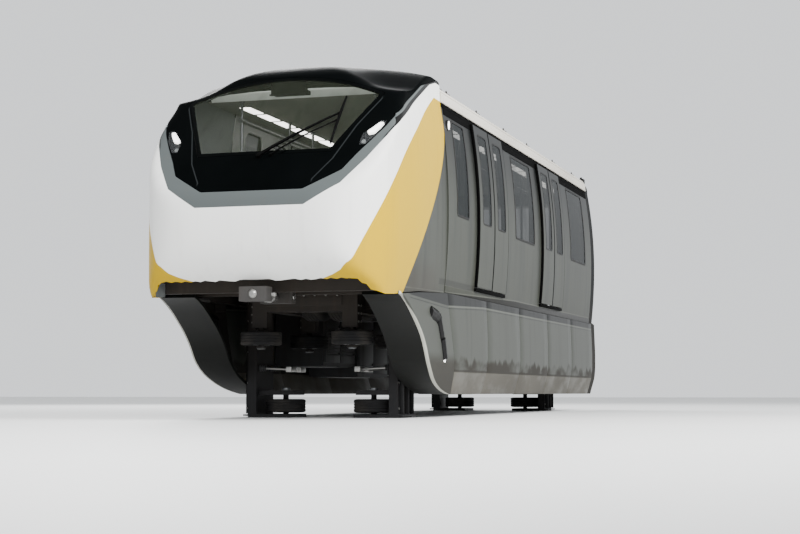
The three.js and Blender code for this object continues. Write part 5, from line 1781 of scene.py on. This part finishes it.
load_rim = [(0.150, 0.405), (0.150, 0.250), (0.250, 0.225), (0.300, 0.300), (0.326, 0.300)]
load_rim += [(0.326, 0.070), (0.300, 0.062), (0.250, 0.110), (0.140, 0.120)]
load_rim += [(0.055, 0.120), (0.055, 0.405)]
axle = [(0.001, -0.560), (0.085, -0.560), (0.085, -0.531), (0.055, -0.531), (0.055, 0.531)]
axle += [(0.085, 0.531), (0.085, 0.560), (0.001, 0.560)]
side_rim = [(0.044, -0.084), (0.108, -0.084), (0.112, -0.050), (0.140, -0.030)]
side_rim = closed_mirror([*side_rim, (0.168, -0.036), (0.172, -0.072), (0.182, -0.074)])
for name, bogie_x in BOGIES:
    wheel = f"load_wheelset_{name}"
    hub = np.array((bogie_x, 0.0, AXLE_HEIGHT))
    tyre_shapes, rim_shapes = [], [turned(axle, 48, hub, 1)]
    for sign in (-1, 1):
        outline = tyre_outline(LOAD_RADIUS, 0.125, 0.318, (-0.066, -0.022, 0.022, 0.066))
        tyre_shapes.append(turned(outline, 96, hub + (0, sign * LOAD_TYRE_Y, 0), 1))
        rim_shapes.append(turned([(r, sign * p) for r, p in load_rim], 72, hub, 1))
    solid(f"load_tyres_{name}", tyre_shapes, tyre_rubber, wheel, "tyre", wheel)
    solid(f"load_rims_{name}", rim_shapes, rim_grey, wheel, "machine_grey")
    for side, sign in reversed(SIDES):
        places = ring_of(hub, 0.205, 10, 1, sign * 0.246)
        bolts(f"load_bolts_{name}_{side}", places, [(0, sign, 0)] * 10, 0.017, 0.024, wheel)
    for side, sign in SIDES:
        wheels = (
            (f"guide_wheel_{name}_{side}_ahead", GUIDE_X, GUIDE_HEIGHT),
            (f"guide_wheel_{name}_{side}_behind", -GUIDE_X, GUIDE_HEIGHT),
            (f"stabiliser_wheel_{name}_{side}", 0.0, STABILISER_HEIGHT),
        )
        for wheel, shift, height in wheels:
            hub = np.array((bogie_x + shift, sign * SIDE_TYRE_Y, height))
            outline = tyre_outline(SIDE_TYRE_RADIUS, 0.084, 0.176, (-0.036, 0.0, 0.036))
            solid(f"{wheel}_tyre", [turned(outline, 72, hub, 2)], tyre_rubber, wheel, "tyre", wheel)
            solid(f"{wheel}_rim", [turned(side_rim, 60, hub, 2)], rim_grey, wheel, "machine_grey")
            places = ring_of(hub, 0.126, 8, 2, -0.046) + ring_of(hub, 0.126, 8, 2, 0.046)
            normals = [(0, 0, -1)] * 8 + [(0, 0, 1)] * 8
            bolts(f"{wheel}_bolts", places, normals, 0.010, 0.014, wheel)

# Bogies: a welded black ring over the beam with legs down both of its sides. They carry
# ribs, bolted caps, current collectors that reach in to the beam, and an air spring on
# each side under the floor.
COLLECTOR_HEIGHT = 0.640
LEG_FACE = 1.020
LEG_HALF = 0.30
LEG_HEAD = 1.56
RIB_HALF = 0.008
# Outlines as (radius, place along the axis).
INSULATOR = (
    (0.001, 0.0), (0.045, 0.0), (0.045, 0.02), (0.028, 0.03),
    (0.045, 0.045), (0.028, 0.06), (0.045, 0.075), (0.001, 0.09),
)
AIR_SPRING = (
    (0.001, 1.598), (0.205, 1.598), (0.232, 1.606), (0.232, 1.614),
    (0.212, 1.620), (0.222, 1.628), (0.205, 1.635), (0.001, 1.635),
)
for name, bogie_x in BOGIES:
    frame_body = f"bogie_{name}"
    wear(f"bogie_frame_{name}", frame_black)
    wear(f"motor_{name}", machine_grey)
    ribs, caps, shoes, insulators, springs, places, normals = [], [], [], [], [], [], []
    for _, sign in SIDES:
        for x in (-0.22, 0.0, 0.22):
            rear, front = bogie_x + x - RIB_HALF, bogie_x + x + RIB_HALF
            ribs.append(block((rear, sign * LEG_FACE, 0.05), (front, sign * 1.075, LEG_HEAD)))
        for foot, head in ((0.02, 0.040), (LEG_HEAD, 1.58)):
            rear, front = bogie_x - LEG_HALF, bogie_x + LEG_HALF
            ribs.append(block((rear, sign * LEG_FACE, foot), (front, sign * 1.085, head)))
        for z in (0.12, 0.45, 0.85, 1.25, 1.48):
            for x in (-0.27, -0.11, 0.11, 0.27):
                places.append((bogie_x + x, sign * 1.026, z))
                normals.append((0, sign, 0))
        for x in (-GUIDE_X, GUIDE_X):
            pin = [(bogie_x + x, sign * SIDE_TYRE_Y, z) for z in (0.862, 0.882)]
            caps.append(rod(pin, 0.052, 24))
            for z in (1.20, 1.30, 1.40):
                for shift in (-0.05, 0.05):
                    places.append((bogie_x + x + shift, sign * 0.705, z))
                    normals.append((0, sign, 0))
        pin = [(bogie_x, sign * SIDE_TYRE_Y, z) for z in (0.300, 0.385)]
        caps.append(rod(pin, 0.058, 24))
        for x in (-0.17, 0.17):
            arm_x = bogie_x + x
            ends = ((0.90, COLLECTOR_HEIGHT), (0.50, COLLECTOR_HEIGHT - 0.02))
            shoes.append(rod([(arm_x, sign * y, z) for y, z in ends], 0.018, 12))
            low, high = (arm_x - 0.10, sign * 0.430, 0.585), (arm_x + 0.10, sign * 0.505, 0.655)
            shoes.append(block(low, high))
            bell = [(r, sign * (0.90 - p)) for r, p in INSULATOR]
            insulators.append(turned(bell, 24, (arm_x, 0, COLLECTOR_HEIGHT), 1))
        springs.append(turned(AIR_SPRING, 48, (bogie_x, sign * 0.800, 0), 2))
    for end in (-1, 1):
        ribs.append(block((bogie_x + end * 0.95, -0.50, 1.40), (bogie_x + end * 0.965, 0.50, 1.56)))
        for y in np.linspace(-0.44, 0.44, 7):
            places.append((bogie_x + end * 0.969, y, 1.53))
            normals.append((end, 0, 0))
    solid(f"bogie_ribs_{name}", ribs, frame_black, frame_body, "frame_black", bevel=0.003)
    solid(f"bogie_caps_{name}", caps, rim_grey, frame_body, "machine_grey", bevel=0.004)
    solid(f"collector_shoes_{name}", shoes, bare_steel, frame_body, "machine_grey", bevel=0.004)
    solid(f"collector_insulators_{name}", insulators, machine_grey, frame_body, "machine_grey")
    solid(f"air_springs_{name}", springs, rubber, frame_body, "tyre")
    bolts(f"bogie_bolts_{name}", places, normals, 0.015, 0.014, frame_body)

# Motor: a finned alloy case on the end of each bogie that looks to the middle of the car,
# with a round bolted cover on its end.
MOTOR_HEIGHT = 1.44
FIN_PITCH = 0.045
for name, bogie_x in BOGIES:
    body = f"bogie_{name}"
    inner_end = -1 if name == "front" else 1
    low_x, high_x = sorted((bogie_x + inner_end * 0.97, bogie_x + inner_end * 1.38))
    fins = [
        block((x, -0.280, 1.300), (x + 0.012, 0.280, 1.585))
        for x in np.arange(low_x, high_x, FIN_PITCH)
    ]
    face = bogie_x + inner_end * 1.400
    cover_line = [(face, 0, MOTOR_HEIGHT), (face + inner_end * 0.03, 0, MOTOR_HEIGHT)]
    shapes = [*fins, rod(cover_line, [0.13, 0.118], 48)]
    solid(f"motor_fins_{name}", shapes, machine_grey, body, "machine_grey", bevel=0.003)
    bolt_x = face + inner_end * 0.006
    places = [
        (bolt_x, 0.155 * math.cos(t), MOTOR_HEIGHT + 0.135 * math.sin(t))
        for t in np.arange(8) * math.pi / 4
    ]
    bolts(f"motor_bolts_{name}", places, [(inner_end, 0, 0)] * 8, 0.011, 0.014, body)

# Saloon: a grey vinyl floor with pale flecks and a white panelled ceiling, painted darker as
# shade, with two rows of light tubes. The cab has a ceiling of its own, shaped to the nose,
# painted paler and glowing faintly as painted sunlight.
VINYL_GREY = colour(108, 112, 114)
floor_vinyl = Finish("floor_vinyl", VINYL_GREY, 0.6)
flecks = floor_vinyl.noise(140.0, (1, 1, 1), 2.0).rise(0.6, 0.7)
floor_vinyl.paint(flecks * 0.5, VINYL_GREY, colour(150, 153, 152))
floor_vinyl.scuff(2.0, 0.25, 0.45)
# Painted shade: the saloon ceiling's white is painted darker, as it lies in shade.
SHADED_CEILING_PAINT = colour(160, 160, 148)
ceiling_white_shaded = Finish("ceiling_white_shaded", SHADED_CEILING_PAINT, 0.6)
panel_line = (ceiling_white_shaded.x * (1 / 1.2)).math("FRACT").near(0.0, 0.004, 0.004)
ceiling_white_shaded.paint(panel_line, SHADED_CEILING_PAINT, colour(90, 90, 84))
# Painted light: the cab ceiling is painted paler and glows faintly, standing in for sunlight
# through the screen.
CAB_SUNLIGHT_GLOW = {"Emission_Color": (0.80, 0.88, 0.76, 1), "Emission_Strength": 0.28}
sunlit_cab_white = Finish("cab_ceiling_sunlit_paint", colour(236, 240, 234), 0.55, **CAB_SUNLIGHT_GLOW)
sunlit_cab_white.scuff(6.0, 0.2, 0.45)
TUBE_GLOW = {"Emission_Color": (1, 0.99, 0.95, 1), "Emission_Strength": 6.0}
tube_light = Finish("tube_light", colour(252, 252, 248), 0.4, **TUBE_GLOW)
tube_light.scuff(3.0, 0.2, 0.3)
vinyl = [
    block((x0, -y, FLOOR_TOP + 0.001), (x1, y, FLOOR_TOP + 0.006))
    for x0, x1, y in ((BODY_REAR + 0.03, -5.57, 1.42), (-4.16, 3.13, 1.42), (4.54, 5.14, 1.38))
]
beside_seats = [
    block((x0, 1.04, FLOOR_TOP + 0.001), (x1, 1.42, FLOOR_TOP + 0.006))
    for x0, x1 in ((-5.57, -4.16), (3.13, 4.54))
]
vinyl += both_sides(beside_seats)
solid("floor_covering", vinyl, floor_vinyl, "car_body", "interior_panel")
CAB_CEILING = ((4.72, 1.30), (4.95, 1.22), (5.12, 0.90), (5.22, 0.50), (5.24, 0.0))
ceiling = [block((BODY_REAR + 0.065, -1.37, 4.040), (CAB_CEILING[0][0] - 0.02, 1.37, 4.056))]
solid("ceiling_panels", ceiling, ceiling_white_shaded, "car_body", "interior_panel", bevel=0.004)
cab_edge = [*CAB_CEILING, *((x, -y) for x, y in CAB_CEILING[-2::-1])]
cab_ceiling = [loft([[(x, y, z) for x, y in cab_edge] for z in (4.036, 4.050)])]
solid("cab_ceiling", cab_ceiling, sunlit_cab_white, "car_body", "interior_panel", bevel=0.003)
TUBE_Y = (0.945, 1.085)
TUBE_STARTS = np.arange(-5.76, 4.0, 0.60)
TUBE_LENGTH = 0.48
tubes, cases = [], []
inner, outer = TUBE_Y
for start in TUBE_STARTS:
    end = start + TUBE_LENGTH
    tubes.append(block((start, inner, 4.018), (end, outer, 4.036)))
    low, high = (start - 0.02, inner - 0.015, 4.028), (end + 0.02, outer + 0.012, 4.041)
    cases.append(block(low, high))
solid("light_tubes", both_sides(tubes), tube_light, "car_body", "lens", bevel=0.004)
cases = both_sides(cases)
solid("light_cases", cases, ceiling_white_shaded, "car_body", "interior_panel", bevel=0.002)

# Seats: three moulded blue shells to a row, back to back on a casing over each pair of load
# tyres, and along both walls on a low base.
SEAT_BLUE = colour(58, 84, 104)
seat_shell = Finish("seat_shell", SEAT_BLUE, 0.42, Coat_Weight=0.1)
seat_shell.grain(180.0, 0.0003, 2.0)
seat_rub = seat_shell.noise(4.0, (1, 1, 1), 4.0, 1.0).rise(0.5, 0.8) * 0.25
seat_shell.paint(seat_rub, SEAT_BLUE, colour(112, 128, 138))
seat_shell.set("Roughness", seat_rub + 0.38)
SHELL_LINE = (
    (0.634, 2.640), (0.640, 2.560), (0.650, 2.420), (0.668, 2.290), (0.730, 2.226),
    (0.830, 2.212), (0.940, 2.220), (1.020, 2.236), (1.042, 2.214),
)
SEATS_IN_ROW = 3
SEAT_PITCH = 0.455
SEAT_FOOT = FLOOR_TOP + 0.0015
ISLAND_HALF = 0.70
ISLAND_TOP = 2.632


def seat_row(x, line, sign):
    """Moulded shells side by side: each is dished across, with a rolled rim."""
    shells = []
    for i in range(SEATS_IN_ROW):
        centre = x + (i - (SEATS_IN_ROW - 1) / 2) * SEAT_PITCH
        rows = []
        for share in np.linspace(-1, 1, 13):
            dish = 0.020 * (1 - share**2) - 0.008 * share**8
            place = centre + share * SEAT_PITCH * 0.48
            row = []
            for j, (y, z) in enumerate(line):
                back = 1 - ease(np.array(float(j)), 2.0, 4.5)
                row.append((place, sign * (y - dish * back), z - dish * (1 - back)))
            rows.append(row)
        top = np.array(rows)
        under = top - np.array((0, sign * 0.008, 0.012))
        shells.append(loft([np.vstack([a, b[::-1]]) for a, b in zip(top, under)]))
    return shells


for name, bogie_x in BOGIES:
    island = f"seat_island_{name}"
    rear, front = bogie_x - ISLAND_HALF, bogie_x + ISLAND_HALF
    flank = block((rear, 0.605, SEAT_FOOT), (front, 0.630, ISLAND_TOP))
    step = block((bogie_x - 0.60, 0.632, SEAT_FOOT), (bogie_x + 0.60, 0.900, 2.140))
    casing = both_sides([flank, step])
    for low, high in ((rear, rear + 0.03), (front - 0.03, front)):
        casing.append(block((low, -0.604, SEAT_FOOT), (high, 0.604, ISLAND_TOP)))
    casing.append(block((rear + 0.001, -0.629, 2.350), (front - 0.001, 0.629, 2.640)))
    solid(f"seat_casing_{name}", casing, lining, "car_body", "interior_panel", island, bevel=0.008)
    for side, sign in SIDES:
        shells = seat_row(bogie_x, SHELL_LINE, sign)
        seats = f"island_seats_{name}_{side}"
        solid(seats, shells, seat_shell, "car_body", "seat_blue", bevel=0.003)
for side, sign in SIDES:
    start, end = WINDOWS[1][1], WINDOWS[1][2]
    line = [(2.110 - y, z) for y, z in SHELL_LINE]
    middle = (start + end) / 2
    base = [
        block((start + 0.16, sign * 1.24, SEAT_FOOT), (end - 0.16, sign * 1.452, 2.14)),
        block((start + 0.04, sign * 1.04, 2.135), (end - 0.04, sign * 1.46, 2.185)),
    ]
    node = f"wall_bench_{side}"
    solid(f"bench_base_{side}", base, lining, "car_body", "interior_panel", node, bevel=0.006)
    shells = seat_row(middle, line, sign)
    solid(f"bench_seats_{side}", shells, seat_shell, "car_body", "seat_blue", bevel=0.003)

# Rails and poles: stainless tube. One rail runs along each side below the ceiling, held by
# poles with round plates at the floor and at the ceiling.
stainless = Finish("stainless", colour(120, 122, 124), 0.22, Metallic=1.0)
stainless.scuff(20.0, 0.2, 0.24, (1, 1, 0.2))
POLES = (-5.700, -4.020, -3.380, -2.050, 0.730, 2.060, 2.980, 4.680)
RAIL_Y, RAIL_HEIGHT, RAIL_RADIUS = 0.900, 3.780, 0.019
# Low end, high end, radius and roundness of a pole, its foot plate and its ceiling plate.
POLE_PARTS = (
    (FLOOR_TOP + 0.007, 4.039, RAIL_RADIUS, 20),
    (FLOOR_TOP + 0.006, FLOOR_TOP + 0.020, [0.045, 0.038], 24),
    (4.020, 4.0395, [0.032, 0.040], 24),
)
for side, sign in SIDES:
    y = sign * RAIL_Y
    bars = [rod([(x, y, RAIL_HEIGHT) for x in (POLES[0], POLES[-1])], RAIL_RADIUS, 20)]
    for x in POLES:
        for low, high, radius, count in POLE_PARTS:
            bars.append(rod([(x, y, low), (x, y, high)], radius, count))
        bars.append(rod([(x - 0.05, y, RAIL_HEIGHT), (x + 0.05, y, RAIL_HEIGHT)], 0.027, 20))
    solid(f"grab_bars_{side}", bars, stainless, "car_body", "stainless", f"grab_rail_{side}")

# Cab: a white moulded desk across the nose with a dark instrument hood, two screens, two
# levers and rows of push buttons.
desk_white = Finish("desk_panel", colour(150, 153, 152), 0.5)
desk_white.grain(90.0, 0.0004, 2.0)
desk_white.weather(colour(96, 94, 90), 0.2, 1.8, 2.9, 0.0)
wear("control_desk", desk_white)
cab_dark = Finish("cab_dark", colour(30, 32, 34), 0.55)
cab_dark.grain(150.0, 0.0003, 2.0)
hood_line = [(5.42, 2.83), (5.40, 2.985), (5.56, 3.005), (5.74, 2.965), (5.80, 2.87)]
hood = [
    loft([[(x, y, z) for x, z in hood_line] for y in (-0.62, -0.60, 0.60, 0.62)]),
    block((5.385, -0.52, 2.845), (5.402, -0.10, 2.975)),
    block((5.385, 0.10, 2.845), (5.402, 0.52, 2.975)),
]
solid("instrument_hood", hood, cab_dark, "car_body", "mask_black", bevel=0.006)
lever = [
    rod([(5.30, 0.42, 2.80), (5.30, 0.42, 2.93)], 0.013, 12),
    rod([(5.30, 0.42, 2.92), (5.30, 0.42, 2.975)], [0.024, 0.030], 20),
    rod([(5.30, -0.42, 2.80), (5.30, -0.42, 2.87)], 0.011, 12),
    rod([(5.30, -0.42, 2.865), (5.30, -0.42, 2.90)], [0.020, 0.024], 20),
]
solid("desk_levers", lever, cab_dark, "car_body", "mask_black", bevel=0.002)
knobs = []
for y in np.linspace(-0.95, 0.95, 15):
    if abs(y) > 0.66:
        knobs += [(5.25, y, 2.82), (5.34, y, 2.832)]
leaning = [(-0.1, 0, 1)] * len(knobs)
bolts("desk_buttons", knobs, leaning, 0.014, 0.022, "car_body", "mask_black", dark_bolts)
